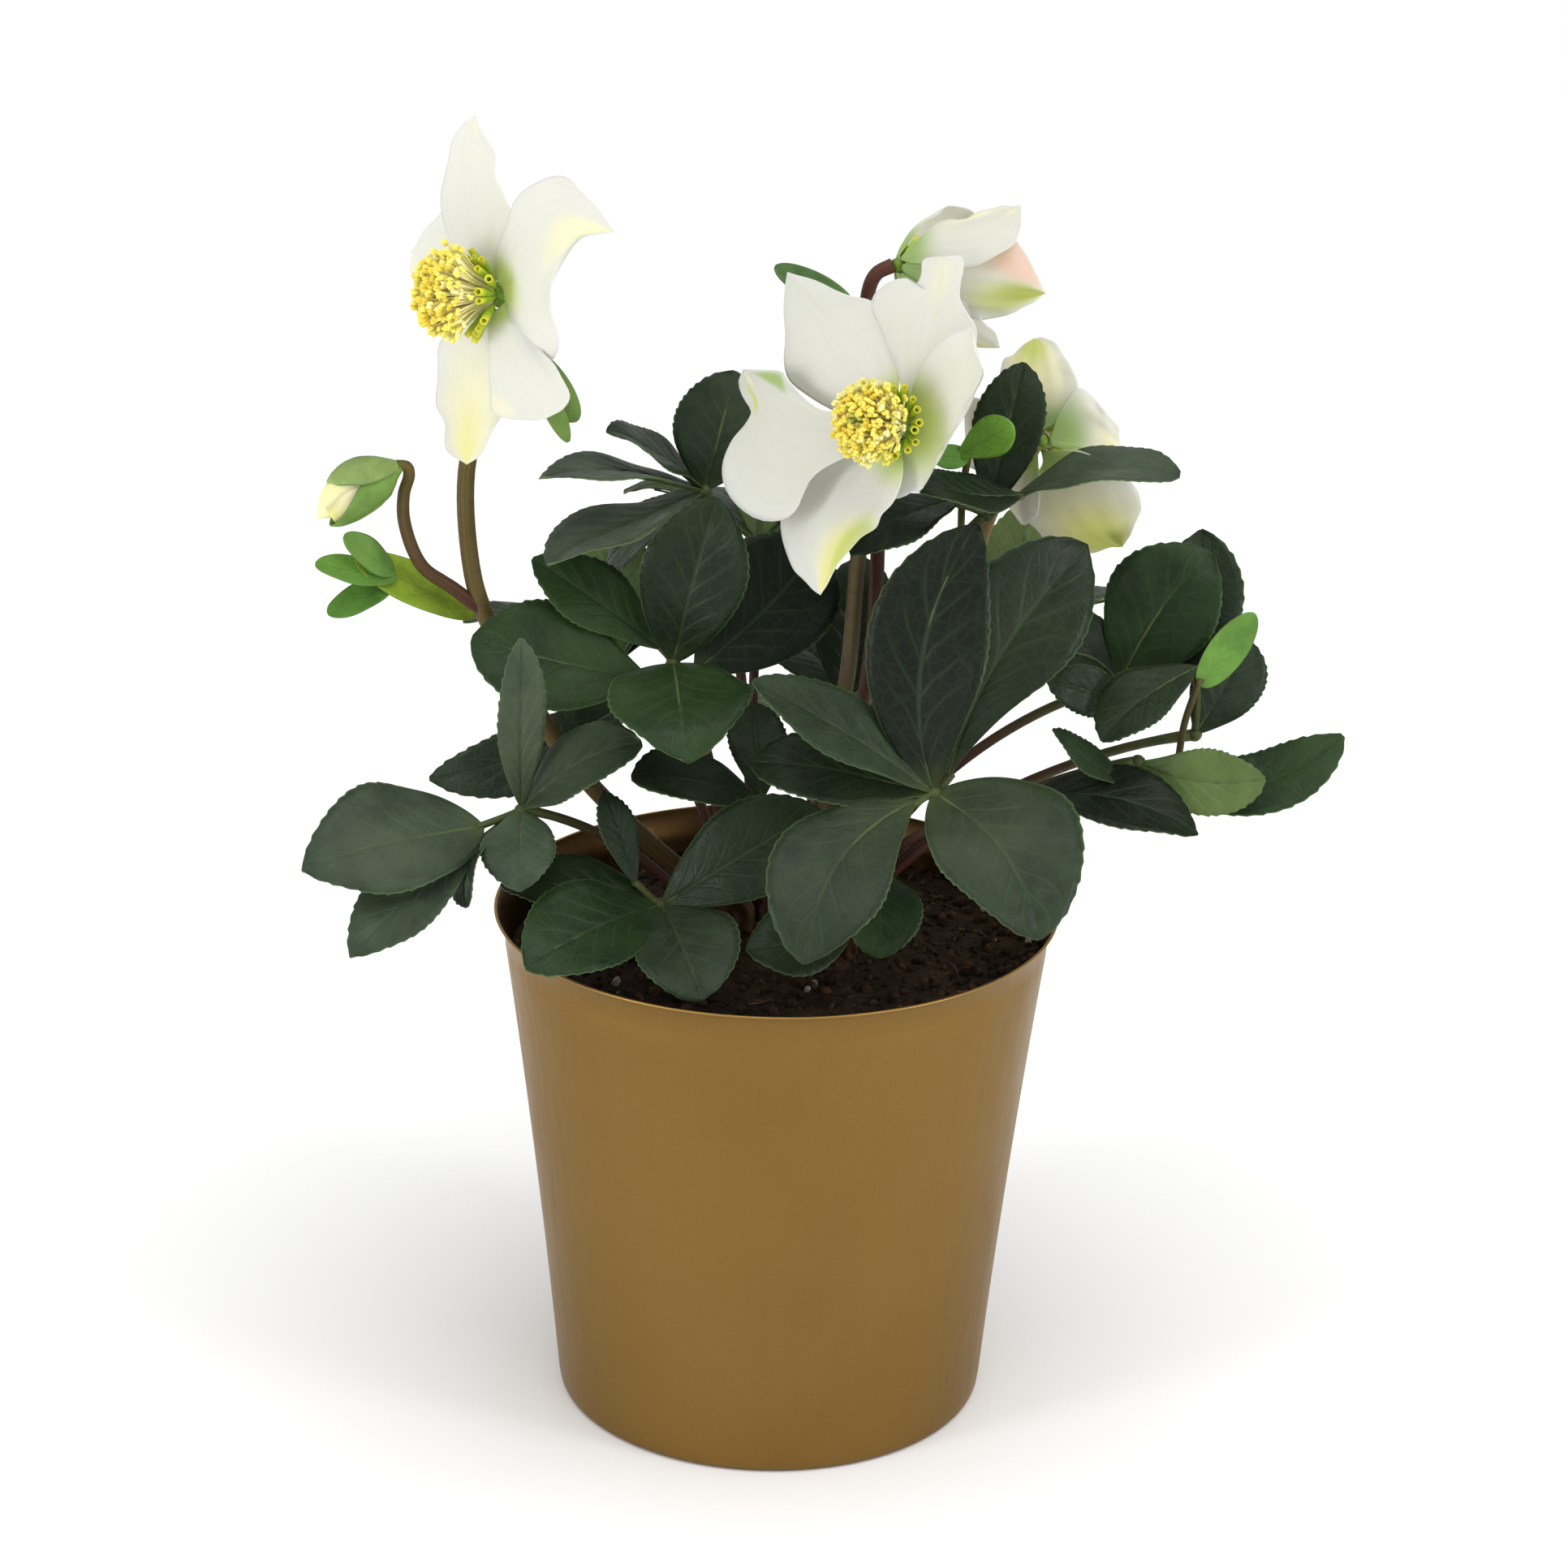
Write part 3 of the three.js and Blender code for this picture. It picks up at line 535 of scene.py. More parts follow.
def add_lathe(shape, profile, centre, axis, slot, seed, paint, sides=24):
    """A profile of (radius, level) turned about an axis, on which it starts and ends."""
    axis = unit(axis)
    first = unit(np.cross(axis, (0.31, 0.2, 0.93)))
    second = np.cross(axis, first)
    angle = full_turn(sides)
    profile = np.asarray(profile, float)
    ring = first * np.cos(angle)[:, None] + second * np.sin(angle)[:, None]
    verts = (
        np.asarray(centre, float)
        + axis * profile[:, 1][:, None, None]
        + ring[None] * profile[:, 0][:, None, None]
    )
    t = np.linspace(0, 1, len(profile))[:, None]
    place = vertex_places(np.abs(angle / math.pi - 1), t, seed)
    faces = [ring_quads(len(profile) - 1, sides)]
    shape.add(verts, faces, slot, place, per_ring(paint, sides))


def through(points, steps):
    """A smooth line through points, with steps pieces between each two."""
    points = [np.asarray(p, float) for p in points]
    points = [2 * points[0] - points[1]] + points + [2 * points[-1] - points[-2]]
    line = []
    for p0, p1, p2, p3 in zip(points, points[1:], points[2:], points[3:]):
        k1 = max(np.linalg.norm(p1 - p0), 1e-6) ** 0.5
        k2 = max(np.linalg.norm(p2 - p1), 1e-6) ** 0.5
        k3 = max(np.linalg.norm(p3 - p2), 1e-6) ** 0.5
        m1 = ((p1 - p0) / k1 - (p2 - p0) / (k1 + k2) + (p2 - p1) / k2) * k2
        m2 = ((p2 - p1) / k2 - (p3 - p1) / (k2 + k3) + (p3 - p2) / k3) * k2
        for s in np.arange(steps) / steps:
            h = (2 * s**3 - 3 * s**2 + 1, s**3 - 2 * s**2 + s, -2 * s**3 + 3 * s**2, s**3 - s**2)
            line.append(h[0] * p1 + h[1] * m1 + h[2] * p2 + h[3] * m2)
    line.append(points[-2])
    return np.array(line)


def bezier(p0, p1, p2, p3, count):
    t = np.linspace(0, 1, count)[:, None]
    s = 1 - t
    return s**3 * p0 + 3 * s * s * t * p1 + 3 * s * t * t * p2 + t**3 * p3


# ---------------------------------------------------------------- materials


class Nodes:
    """Short names for building a material's node tree."""

    def __init__(self, name):
        self.material = bpy.data.materials.new(name)
        self.material.use_nodes = True
        self.tree = self.material.node_tree
        self.shader = self.tree.nodes["Principled BSDF"]

    def put(self, value, socket):
        """Links a socket to another one's output, or sets its number or colour."""
        if hasattr(value, "is_linked"):
            self.tree.links.new(value, socket)
        elif not hasattr(socket.default_value, "__len__"):
            socket.default_value = value
        elif not hasattr(value, "__len__"):
            socket.default_value = [value] * len(socket.default_value)
        else:
            opaque = [1.0] * (len(socket.default_value) - len(value))
            socket.default_value = [*value, *opaque]

    def new(self, kind, inputs, **settings):
        made = self.tree.nodes.new("ShaderNode" + kind)
        for key, value in settings.items():
            setattr(made, key, value)
        for key, value in inputs.items():
            self.put(value, made.inputs[key])
        return made

    def math(self, operation, a, b=0.5):
        return self.new("Math", {0: a, 1: b}, operation=operation).outputs[0]

    def times(self, a, b):
        return self.math("MULTIPLY", a, b)

    def band(self, value, low, high, to_low=0.0, to_high=1.0):
        """Smoothly turns low..high into to_low..to_high."""
        inputs = {"Value": value, "From Min": low, "From Max": high, "To Min": to_low, "To Max": to_high}
        return self.new("MapRange", inputs, interpolation_type="SMOOTHSTEP").outputs[0]

    def mix(self, factor, a, b, blend="MIX"):
        return self.new("Mix", {0: factor, 6: a, 7: b}, data_type="RGBA", blend_type=blend).outputs[2]

    def tint(self, colour, factors):
        return self.mix(1.0, colour, factors, "MULTIPLY")

    def noise(self, vector, scale, detail=2.0, roughness=0.5):
        inputs = {"Vector": vector, "Scale": scale, "Detail": detail, "Roughness": roughness}
        return self.new("TexNoise", inputs).outputs["Fac"]

    def cells(self, vector, scale):
        """Distance to the nearest wall of a cell pattern."""
        inputs = {"Vector": vector, "Scale": scale}
        return self.new("TexVoronoi", inputs, feature="DISTANCE_TO_EDGE").outputs["Distance"]

    def paint(self):
        """The colour stored at the vertices."""
        return self.new("Attribute", {}, attribute_name="paint").outputs["Color"]

    def blade_place(self):
        """Share across, share along and seed, as stored at the vertices."""
        place = self.new("Attribute", {}, attribute_name="place").outputs["Vector"]
        return self.new("SeparateXYZ", {0: place}).outputs

    def streaks(self, across, along, scale, roughness):
        """Noise drawn out along a blade or stalk."""
        parts = self.blade_place()
        drawn = {0: self.times(parts[0], across), 1: self.times(parts[1], along), 2: parts[2]}
        return self.noise(self.new("CombineXYZ", drawn).outputs[0], scale, 3, roughness)

    def object_place(self):
        return self.new("TexCoord", {}).outputs["Object"]

    def bump(self, height, strength, distance, **below):
        """A relief; Normal=... puts it on top of another."""
        inputs = {"Strength": strength, "Distance": distance, "Height": height, **below}
        return self.new("Bump", inputs).outputs["Normal"]

    def finish(self, colour, roughness, **others):
        inputs = {"Base_Color": colour, "Roughness": roughness, **others}
        for key, value in inputs.items():
            self.put(value, self.shader.inputs[key.replace("_", " ")])
        return self.material


def leaf_material(name, upper):
    """Leathery blade: thin pale midrib and side veins, a faint net between them, soft mottling, and lighter
    patches that are partly painted sheen.
    """
    n = Nodes(name)
    paint = n.paint()
    parts = n.blade_place()
    across, along = n.math("ABSOLUTE", parts[0]), parts[1]
    where = n.object_place()
    wander = n.times(n.noise(where, 90, 2), 0.45)
    sweep = n.times(n.math("POWER", across, 0.8), VEIN_SWEEP)
    sweep = n.math("SUBTRACT", n.times(along, VEIN_PAIRS), sweep)
    off_vein = n.math("FRACT", n.math("ADD", sweep, wander))
    off_vein = n.math("ABSOLUTE", n.math("SUBTRACT", off_vein, 0.5))
    side_vein = n.times(n.band(off_vein, 0.0, 0.15, 1, 0), n.band(across, 0.3, 0.95, 1, 0))
    midrib = n.times(n.band(across, 0.008, 0.06, 1, 0), n.band(along, 0.6, 1.0, 1, 0.2))
    net = n.band(n.cells(where, 300), 0.0, 0.12, 1, 0)
    veins = n.math("MAXIMUM", n.times(side_vein, 0.55), midrib)
    veins = n.math("MAXIMUM", veins, n.times(net, 0.25))
    mottle = n.noise(where, 110, 5, 0.65)
    patch = n.noise(where, 32, 3)
    shade = n.tint(paint, (0.6, 0.62, 0.62))
    tone_and_sheen = n.tint(paint, (1.75, 1.6, 1.5))
    colour = n.mix(n.band(mottle, 0.32, 0.66), shade, paint)
    # Lighter greyish patches at random: partly uneven leaf tone, partly painted sheen standing in for satin
    # highlights.
    colour = n.mix(n.band(patch, 0.38, 0.68, 0, 0.6), colour, tone_and_sheen)
    vein_strength, vein_tint = (0.22, (0.07, 0.12, 0.05)) if upper else (0.4, (0.24, 0.32, 0.15))
    colour = n.mix(n.times(veins, vein_strength), colour, vein_tint)
    colour = n.mix(n.band(across, 0.95, 1.0, 0, 0.45), colour, (0.1, 0.17, 0.06))
    low, high = (0.36, 0.5) if upper else (0.6, 0.75)
    rough = n.band(n.noise(where, 200, 3), 0.3, 0.7, low, high)
    relief = n.math("SUBTRACT", n.times(mottle, 0.7), veins)
    normal = n.bump(relief, 0.45, 0.0003)
    return n.finish(colour, rough, Normal=normal, Specular_IOR_Level=0.16 if upper else 0.12)


def stalk_material(name):
    """Stems and petioles: fine long streaks over the painted colour, with darker flecks."""
    n = Nodes(name)
    paint = n.paint()
    streak = n.streaks(9.0, 2.0, 1.6, 0.6)
    fleck = n.noise(n.object_place(), 900, 2)
    colour = n.mix(n.band(streak, 0.35, 0.65), n.tint(paint, (0.72, 0.66, 0.62)), paint)
    colour = n.mix(n.band(fleck, 0.58, 0.72, 0, 0.4), colour, (0.06, 0.026, 0.014))
    normal = n.bump(streak, 0.35, 0.0004)
    rough = n.band(fleck, 0.3, 0.7, 0.45, 0.6)
    return n.finish(colour, rough, Normal=normal, Specular_IOR_Level=0.25)


def sepal_material(name):
    """Thin waxy white sepal: faint long veins, soft wrinkles and light passing through."""
    n = Nodes(name)
    paint = n.paint()
    lines = n.streaks(11.0, 1.1, 1.5, 0.55)
    cloud = n.noise(n.object_place(), 60, 3)
    veined = n.mix(n.band(lines, 0.4, 0.62, 0.16, 0), paint, n.tint(paint, (0.86, 0.87, 0.78)))
    duller = n.tint(paint, (0.93, 0.93, 0.9))
    colour = n.mix(n.band(cloud, 0.35, 0.7, 0.25, 0), veined, duller)
    glow = {"Subsurface_Weight": 0.35, "Subsurface_Radius": (0.0025, 0.0022, 0.0014), "Subsurface_Scale": 1.0}
    rough = n.band(cloud, 0.3, 0.7, 0.5, 0.62)
    normal = n.bump(lines, 0.12, 0.0002, Normal=n.bump(cloud, 0.3, 0.0012))
    return n.finish(colour, rough, Normal=normal, Specular_IOR_Level=0.3, **glow)


def grain_material(name, rough, specular, fleck_scale=700.0, contrast=0.35):
    """Small parts coloured by their paint, with a fine mottle."""
    n = Nodes(name)
    paint = n.paint()
    grain = n.noise(n.object_place(), fleck_scale, 3, 0.6)
    darker = n.tint(paint, [1 - contrast] * 3)
    colour = n.mix(n.band(grain, 0.3, 0.7), darker, paint)
    roughness = n.band(grain, 0.3, 0.7, rough, rough - 0.12)
    return n.finish(colour, roughness, Normal=n.bump(grain, 0.4, 0.0003), Specular_IOR_Level=specular)


def gold_material(name):
    """Satin gold lacquer on spun sheet: fine grain, faint upright polishing and slight clouding."""
    n = Nodes(name)
    paint = n.paint()
    where = n.object_place()
    grain = n.noise(where, 2600, 2, 0.5)
    cloud = n.noise(where, 16, 3, 0.55)
    upright = n.new("Mapping", {"Vector": where, "Scale": (1.0, 1.0, 0.03)}).outputs[0]
    brushed = n.noise(upright, 420, 2, 0.6)
    colour = n.mix(n.band(cloud, 0.35, 0.7, 0, 0.5), paint, n.tint(paint, (0.88, 0.85, 0.8)))
    colour = n.mix(n.band(grain, 0.4, 0.62, 0.2, 0), colour, n.tint(paint, (0.74, 0.72, 0.68)))
    rough = n.band(brushed, 0.35, 0.65, 0.34, 0.4)
    rough = n.math("ADD", rough, n.band(cloud, 0.3, 0.7, -0.03, 0.04))
    normal = n.bump(grain, 0.12, 0.00008)
    return n.finish(colour, rough, Normal=normal, Metallic=1.0, Specular_Tint=(0.9, 0.86, 0.8))


def soil_material(name):
    """Crumbly peat: near-black to brown crumbs with pale specks."""
    n = Nodes(name)
    paint = n.paint()
    where = n.object_place()
    crumb = n.noise(where, 520, 6, 0.7)
    clod = n.noise(where, 90, 4, 0.6)
    speck = n.noise(where, 1500, 1)
    colour = n.mix(n.band(crumb, 0.35, 0.68), n.tint(paint, (0.35, 0.33, 0.3)), paint)
    colour = n.mix(n.band(clod, 0.45, 0.7, 0, 0.5), colour, n.tint(paint, (1.9, 1.7, 1.5)))
    colour = n.mix(n.band(speck, 0.74, 0.8, 0, 0.6), colour, (0.3, 0.25, 0.2))
    normal = n.bump(crumb, 0.9, 0.0012)
    rough = n.band(clod, 0.3, 0.7, 0.85, 1.0)
    return n.finish(colour, rough, Normal=normal, Specular_IOR_Level=0.2)


# Side veins of a leaflet: how many pairs, and by how many gaps they reach forward at the margin.
VEIN_PAIRS = 7.0
VEIN_SWEEP = 2.2

leaf_upper = leaf_material("leaf_upper", True)
leaf_under = leaf_material("leaf_under", False)
stalk_skin = stalk_material("stalk_skin")
sepal_skin = sepal_material("sepal_skin")
anther_skin = grain_material("anther_skin", 0.75, 0.2, contrast=0.14)
filament_skin = grain_material("filament_skin", 0.55, 0.4, contrast=0.12)
nectary_skin = grain_material("nectary_skin", 0.5, 0.4, contrast=0.18)
gold_skin = gold_material("gold_skin")
soil_skin = soil_material("soil_skin")
bark_skin = grain_material("bark_skin", 0.95, 0.15, 260.0, 0.6)

LEAF_SKINS = [leaf_upper, leaf_under, stalk_skin]

# ---------------------------------------------------------------- leaves

LEAF_THICKNESS = 0.5
LEAF_ROWS = 60
LEAF_COLUMNS = 14
TOOTH_DEPTH = 0.45
TEETH = 17.0
TOOTH_RISE = 0.78  # share of a tooth before it falls back
# How far a leaflet leaves its flat blade: as shares of its width, then in millimetres.
LEAF_CUP, LEAF_WAVE, LEAF_SWAY, LEAF_DROOP = 0.13, 0.035, 0.02, 0.06
LEAF_QUILT, MIDRIB_GROOVE = 0.3, 0.35
RIB_DEPTH = 0.45
HUB_RADII = (1.9, 1.9, 1.7)
BRANCH_RADIUS = 0.95
UNDERSIDE = srgb(96, 116, 72)
PETIOLE_BROWN = srgb(74, 42, 32)
PETIOLE_GREEN = srgb(72, 84, 44)

# Upper face colours: leaves differ in age, and the tones also paint how they stand to the light:
# the lighter tones are partly painted sheen on leaflets facing the light, the darkest partly painted shade.
LEAF_PAINT = {
    "deep": srgb(20, 28, 18),
    "dark": srgb(29, 41, 25),
    "fresh": srgb(35, 54, 28),
    "bloom_sheen": srgb(41, 53, 37),
    "grey": srgb(60, 73, 56),
    "olive": srgb(78, 98, 54),
}
LEAF_TONES = {
    "leaf_top_left": ["bloom_sheen", "dark", "bloom_sheen", "grey", "grey", "dark"],
    "leaf_centre_left": ["dark", "fresh", "fresh", "fresh", "deep", "dark"],
    "leaf_left": ["grey", "bloom_sheen", "grey", "grey", "grey", "bloom_sheen"],
    "leaf_front_left": ["fresh", "bloom_sheen", "dark", "bloom_sheen", "fresh"],
    "leaf_front_right": ["deep", "dark", "bloom_sheen", "dark", "bloom_sheen", "bloom_sheen"],
    "leaf_low_centre": ["fresh", "dark"],
    "leaf_right": ["fresh", "dark", "dark", "dark"],
    "leaf_right_outer": ["bloom_sheen", "dark"],
    "leaf_right_low": ["olive", "fresh"],
    "leaf_right_front": ["deep", "fresh"],
    "leaf_top_right": ["grey", "dark", "dark", "dark"],
}


def margin_teeth(t, side, seed):
    """How far a leaf's margin stands out at t: forward-pointing teeth on its outer half."""
    phase = (seed * 7.3 + side * 0.37) % 1
    saw = (t * TEETH + phase) % 1
    tooth = np.where(saw < TOOTH_RISE, saw / TOOTH_RISE, (1 - saw) / (1 - TOOTH_RISE))
    return TOOTH_DEPTH * tooth * smoothstep(0.28, 0.5, t) * (1 - smoothstep(0.94, 1.0, t))


def leaflet_lift(u, t, width, half, seed):
    """How far a leaflet's points stand above its flat blade, at u across and t along."""
    phase = 2 * np.pi * seed
    ripple = np.sin(2 * np.pi * 1.6 * t + phase * 3 + 1.9 * np.sign(u))
    sideways = np.sin(2 * np.pi * 0.8 * t + phase * 5)
    off_vein = np.abs(((t * VEIN_PAIRS - np.abs(u) ** 0.8 * VEIN_SWEEP) % 1) - 0.5)
    swell = np.sin(np.pi * t)
    cupped = LEAF_CUP * half * np.abs(u) ** 1.5
    waved = LEAF_WAVE * width * u**2 * ripple * smoothstep(0.1, 0.4, t)
    swayed = LEAF_SWAY * width * sideways * swell
    drooped = LEAF_DROOP * width * smoothstep(0.75, 1.0, t) ** 2
    quilted = LEAF_QUILT * smoothstep(0, 0.35, off_vein) * (1 - np.abs(u) ** 3) * swell
    groove = MIDRIB_GROOVE * np.exp(-((u / 0.06) ** 2)) * smoothstep(0, 0.1, 1 - t)
    return cupped + waved + swayed - drooped + quilted - groove


def add_leaflet(shape, seed, start, tip, width, face, colour, arch=0, bend=0, belly=1.3, fullness=0.68):
    """A toothed blade with its thick midrib below."""
    along = np.linspace(0, 1, LEAF_ROWS + 1)
    t = along[:, None]
    x = np.linspace(-1, 1, LEAF_COLUMNS + 1)
    u = (np.sign(x) * np.abs(x) ** 1.3)[None]
    midrib, across, tangent, normal = blade_skeleton(start, tip, face, arch, bend, 0, along)
    half = np.maximum(0.6, width / 2 * outline(t, belly, fullness))
    phase = 2 * np.pi * seed
    uneven = 0.05 * np.sin(5.2 * t + phase * 2 + np.sign(u))
    lopsided = 1 + 0.07 * np.sign(u) * np.sin(phase * 3) + uneven
    tooth = np.where(u < 0, margin_teeth(t, 0, seed), margin_teeth(t, 1, seed)) * np.abs(u) ** 6
    reach = u * half * lopsided + np.sign(u) * tooth
    lift = leaflet_lift(u, t, width, half, seed)
    middle = midrib[:, None] + across[:, None] * reach[..., None] + normal[:, None] * lift[..., None]
    middle += tangent[:, None] * (0.5 * tooth)[..., None]
    thickness = np.full(lift.shape, LEAF_THICKNESS) * (1 - 0.5 * np.abs(u) ** 4)
    base_light = smoothstep(0.16, 0.0, t)[..., None] * 0.35
    paint = spread(blend(colour, PETIOLE_GREEN, base_light), middle)
    under = spread(UNDERSIDE * 0.8 + colour * 0.35, middle)
    add_sheet(shape, middle, normal[:, None], thickness, (0, 1), vertex_places(u, t, seed), paint, under)
    steps = slice(0, int(LEAF_ROWS * 0.85), 4)
    rib = midrib[steps] - normal[steps] * RIB_DEPTH
    radii = np.interp(along[steps], [0, 0.15, 0.85], [0.9, 0.6, 0.2])
    add_tube(shape, rib, radii, 2, seed, UNDERSIDE * 0.6 + PETIOLE_GREEN * 0.2, sides=6)


def petiole_line(foot, hub, count=26):
    """A petiole that leaves the crown upright and bows over to the hub."""
    low, high = np.array([*foot, FOOT_HEIGHT], float), np.array(hub, float)
    rise = high[2] - low[2]
    first = low + (0, 0, 0.45 * rise)
    second = low + (high - low) * 0.6
    second[2] = low[2] + 0.92 * rise
    return bezier(low, first, second, high, count)


def make_leaf(name, foot, hub, leaflets):
    """One leaf: petiole, hub and leaflets, those that start off the hub with a short branch."""
    shape = Shape()
    seed = rng.random()
    line = petiole_line(foot, hub)
    t = np.linspace(0, 1, len(line))
    flare = np.interp(t, [0, 0.12, 0.9, 1], [1.9, 1.4, 1.15, 1.5])
    colour = blend(PETIOLE_BROWN, PETIOLE_GREEN, smoothstep(0.5, 1.0, t)[:, None])
    add_tube(shape, line, flare, 2, seed, colour, sides=10)
    hub = np.array(hub, float)
    add_lump(shape, hub, np.eye(3) * HUB_RADII, 2, seed, PETIOLE_GREEN)
    tones = LEAF_TONES.get(name, ["dark"] * len(leaflets))
    for tone, leaflet in zip(tones, leaflets):
        spec = dict(leaflet)
        offset = spec.pop("start", None)
        begin = hub + (offset or (0, 0, 0))
        tip = hub + spec.pop("to")
        if offset:
            branch = through([hub, (hub + begin) / 2, begin + 0.04 * (tip - begin)], 3)
            add_tube(shape, branch, BRANCH_RADIUS, 2, seed, PETIOLE_GREEN, sides=8)
        colour = LEAF_PAINT[tone] * rng.uniform(0.88, 1.14)
        add_leaflet(shape, rng.random(), begin, tip, colour=colour, **spec)
    shape.piece(name, LEAF_SKINS)


for leaf_name, leaf in LEAVES.items():
    make_leaf(leaf_name, **leaf)

# ---------------------------------------------------------------- flowers

SEPAL_THICKNESS = 0.35
SEPAL_ROWS = 48
SEPAL_COLUMNS = 32
SEPAL_FOLD, SEPAL_SWAY = 0.14, 0.5
# A sepal's foot in a flower of size 1: distance from the axis, depth behind the centre, half width.
SEPAL_FOOT_RADIUS, SEPAL_FOOT_DEPTH, SEPAL_FOOT_HALF = 3.6, 0.7, 1.3
SEPAL_DEFAULTS = {"width": 24, "arch": 0, "bend": 0, "belly": 1.15, "fullness": 0.6, "twist": 7, "cup": 0}
SEPAL_WHITE = srgb(209, 209, 200)
SEPAL_BACK = srgb(208, 208, 194)
CREAM = srgb(236, 228, 176)
LEMON = srgb(226, 220, 138)
LIME = srgb(182, 196, 84)
GREEN = srgb(120, 160, 50)
OLIVE = srgb(150, 156, 66)
PINK = srgb(222, 170, 150)
SHADE = srgb(176, 176, 162)
BOSS_GREEN = srgb(170, 192, 78)


def even_line(points, count):
    """Points at even distances along the smooth line through the given ones."""
    line = through(points, 8)
    run = np.concatenate([[0], np.cumsum(np.linalg.norm(np.diff(line, axis=0), axis=1))])
    at = np.linspace(0, run[-1], count)
    return np.stack([np.interp(at, run, line[:, axis]) for axis in range(line.shape[1])], 1)


def plain_margins(width, belly, fullness, seed):
    """Margins of a sepal with no special look: an even outline, a little fuller on one side."""
    t = np.array([0.08, 0.2, 0.35, 0.5, 0.65, 0.8, 0.92])
    half = width / 2 * outline(t, belly, fullness)
    uneven = 1 + 0.07 * np.sin(9 * t + 40 * seed)
    return [[(a, way * h) for a, h in zip(t, half * (uneven if way > 0 else 2 - uneven))] for way in (-1, 1)]


def between_margins(left, right, end, foot, length):
    """A grid of flat points (mm along, mm across) that fills a sepal in between its margins."""
    lines = []
    for margin, way in ((left, -1), (right, 1)):
        points = [(0, way * foot), *margin, end]
        lines.append(even_line([(share * length, across) for share, across in points], SEPAL_ROWS + 1))
    s = np.linspace(0, 1, SEPAL_ROWS + 1)
    u = np.linspace(-1, 1, SEPAL_COLUMNS + 1)[None]
    centre_line = np.stack([s * end[0] * length, end[1] * s**3], 1)
    side = np.where((u < 0)[..., None], lines[0][:, None], lines[1][:, None])
    flat = centre_line[:, None] + (side - centre_line[:, None]) * np.abs(u)[..., None]
    return u, s[:, None], flat


def sepal_lift(u, s, reach, seed, cup, wave, curl):
    """How far a sepal's points stand above its flat blade, at u across and s along."""
    turn = 2 * np.pi * seed
    ruffle = np.sin(13 * s + turn + 2 * np.sign(u)) + 0.5 * np.sin(29 * s + 3 * turn + np.sign(u))
    folds = np.sin(u * 6.5 + 9 * seed) + 0.6 * np.sin(u * 15 + 5 * turn + 3 * s)
    swell = np.sin(np.pi * s)
    cupped = cup * np.abs(reach * u)
    ruffled = wave * np.abs(u) ** 3 * ruffle * smoothstep(0.15, 0.5, s) * smoothstep(1.0, 0.9, s)
    folded = SEPAL_FOLD * folds * swell
    swayed = SEPAL_SWAY * np.sin(5 * s + 2 * turn + 2 * u) * swell
    curled = curl * smoothstep(0.66, 1.0, s) ** 1.5
    return cupped + ruffled + folded + swayed - curled


def add_sepal(
    shape, seed, start, tip, face, width, arch, bend, belly, fullness, twist, cup, foot,
    left=None, right=None, end=(1, 0), wave=0.7, curl=0.0, glow=11.0, patches=(),
):
    """One sepal, filled in between its two margins.

    left and right list (share of the length, mm across) along the margins and end is the place
    of the tip. wave ruffles the margins, curl rolls the tip back, glow is how far the green of
    the flower's heart reaches in mm, and patches of colour are
    (colour, across from -1 to 1, along from 0 to 1, reach, strength).
    """
    plain = plain_margins(width, belly, fullness, seed)
    length = np.linalg.norm(np.asarray(tip) - start)
    u, s, flat = between_margins(left or plain[0], right or plain[1], end, foot, length)
    along, reach = flat[..., 0], flat[..., 1]
    t = (along / length).ravel()
    skeleton = blade_skeleton(start, tip, face, arch, bend, twist, t)
    midrib, across, _, normal = (part.reshape(*along.shape, 3) for part in skeleton)
    lift = sepal_lift(u, s, reach, seed, cup, wave, curl)
    middle = midrib + across * reach[..., None] + normal * lift[..., None]
    thickness = SEPAL_THICKNESS * (1 - 0.6 * np.abs(u) ** 6) + np.zeros_like(lift)

    def painted(ground, heart):
        green = smoothstep(glow, 0.3 * glow, np.hypot(along, 0.7 * reach))[..., None] * 0.8
        colour = blend(ground, heart, green)
        for spot, at_u, at_s, size, strength in patches:
            gap = np.sqrt(((u - at_u) * 0.6) ** 2 + (s - at_s) ** 2)
            colour = blend(colour, spot, strength * smoothstep(size, size * 0.35, gap)[..., None])
        return colour.reshape(-1, 3)

    front, back = painted(SEPAL_WHITE, BOSS_GREEN), painted(SEPAL_BACK, GREEN)
    add_sheet(shape, middle, normal, thickness, (0, 0), vertex_places(u, s, seed * 20), front, back)


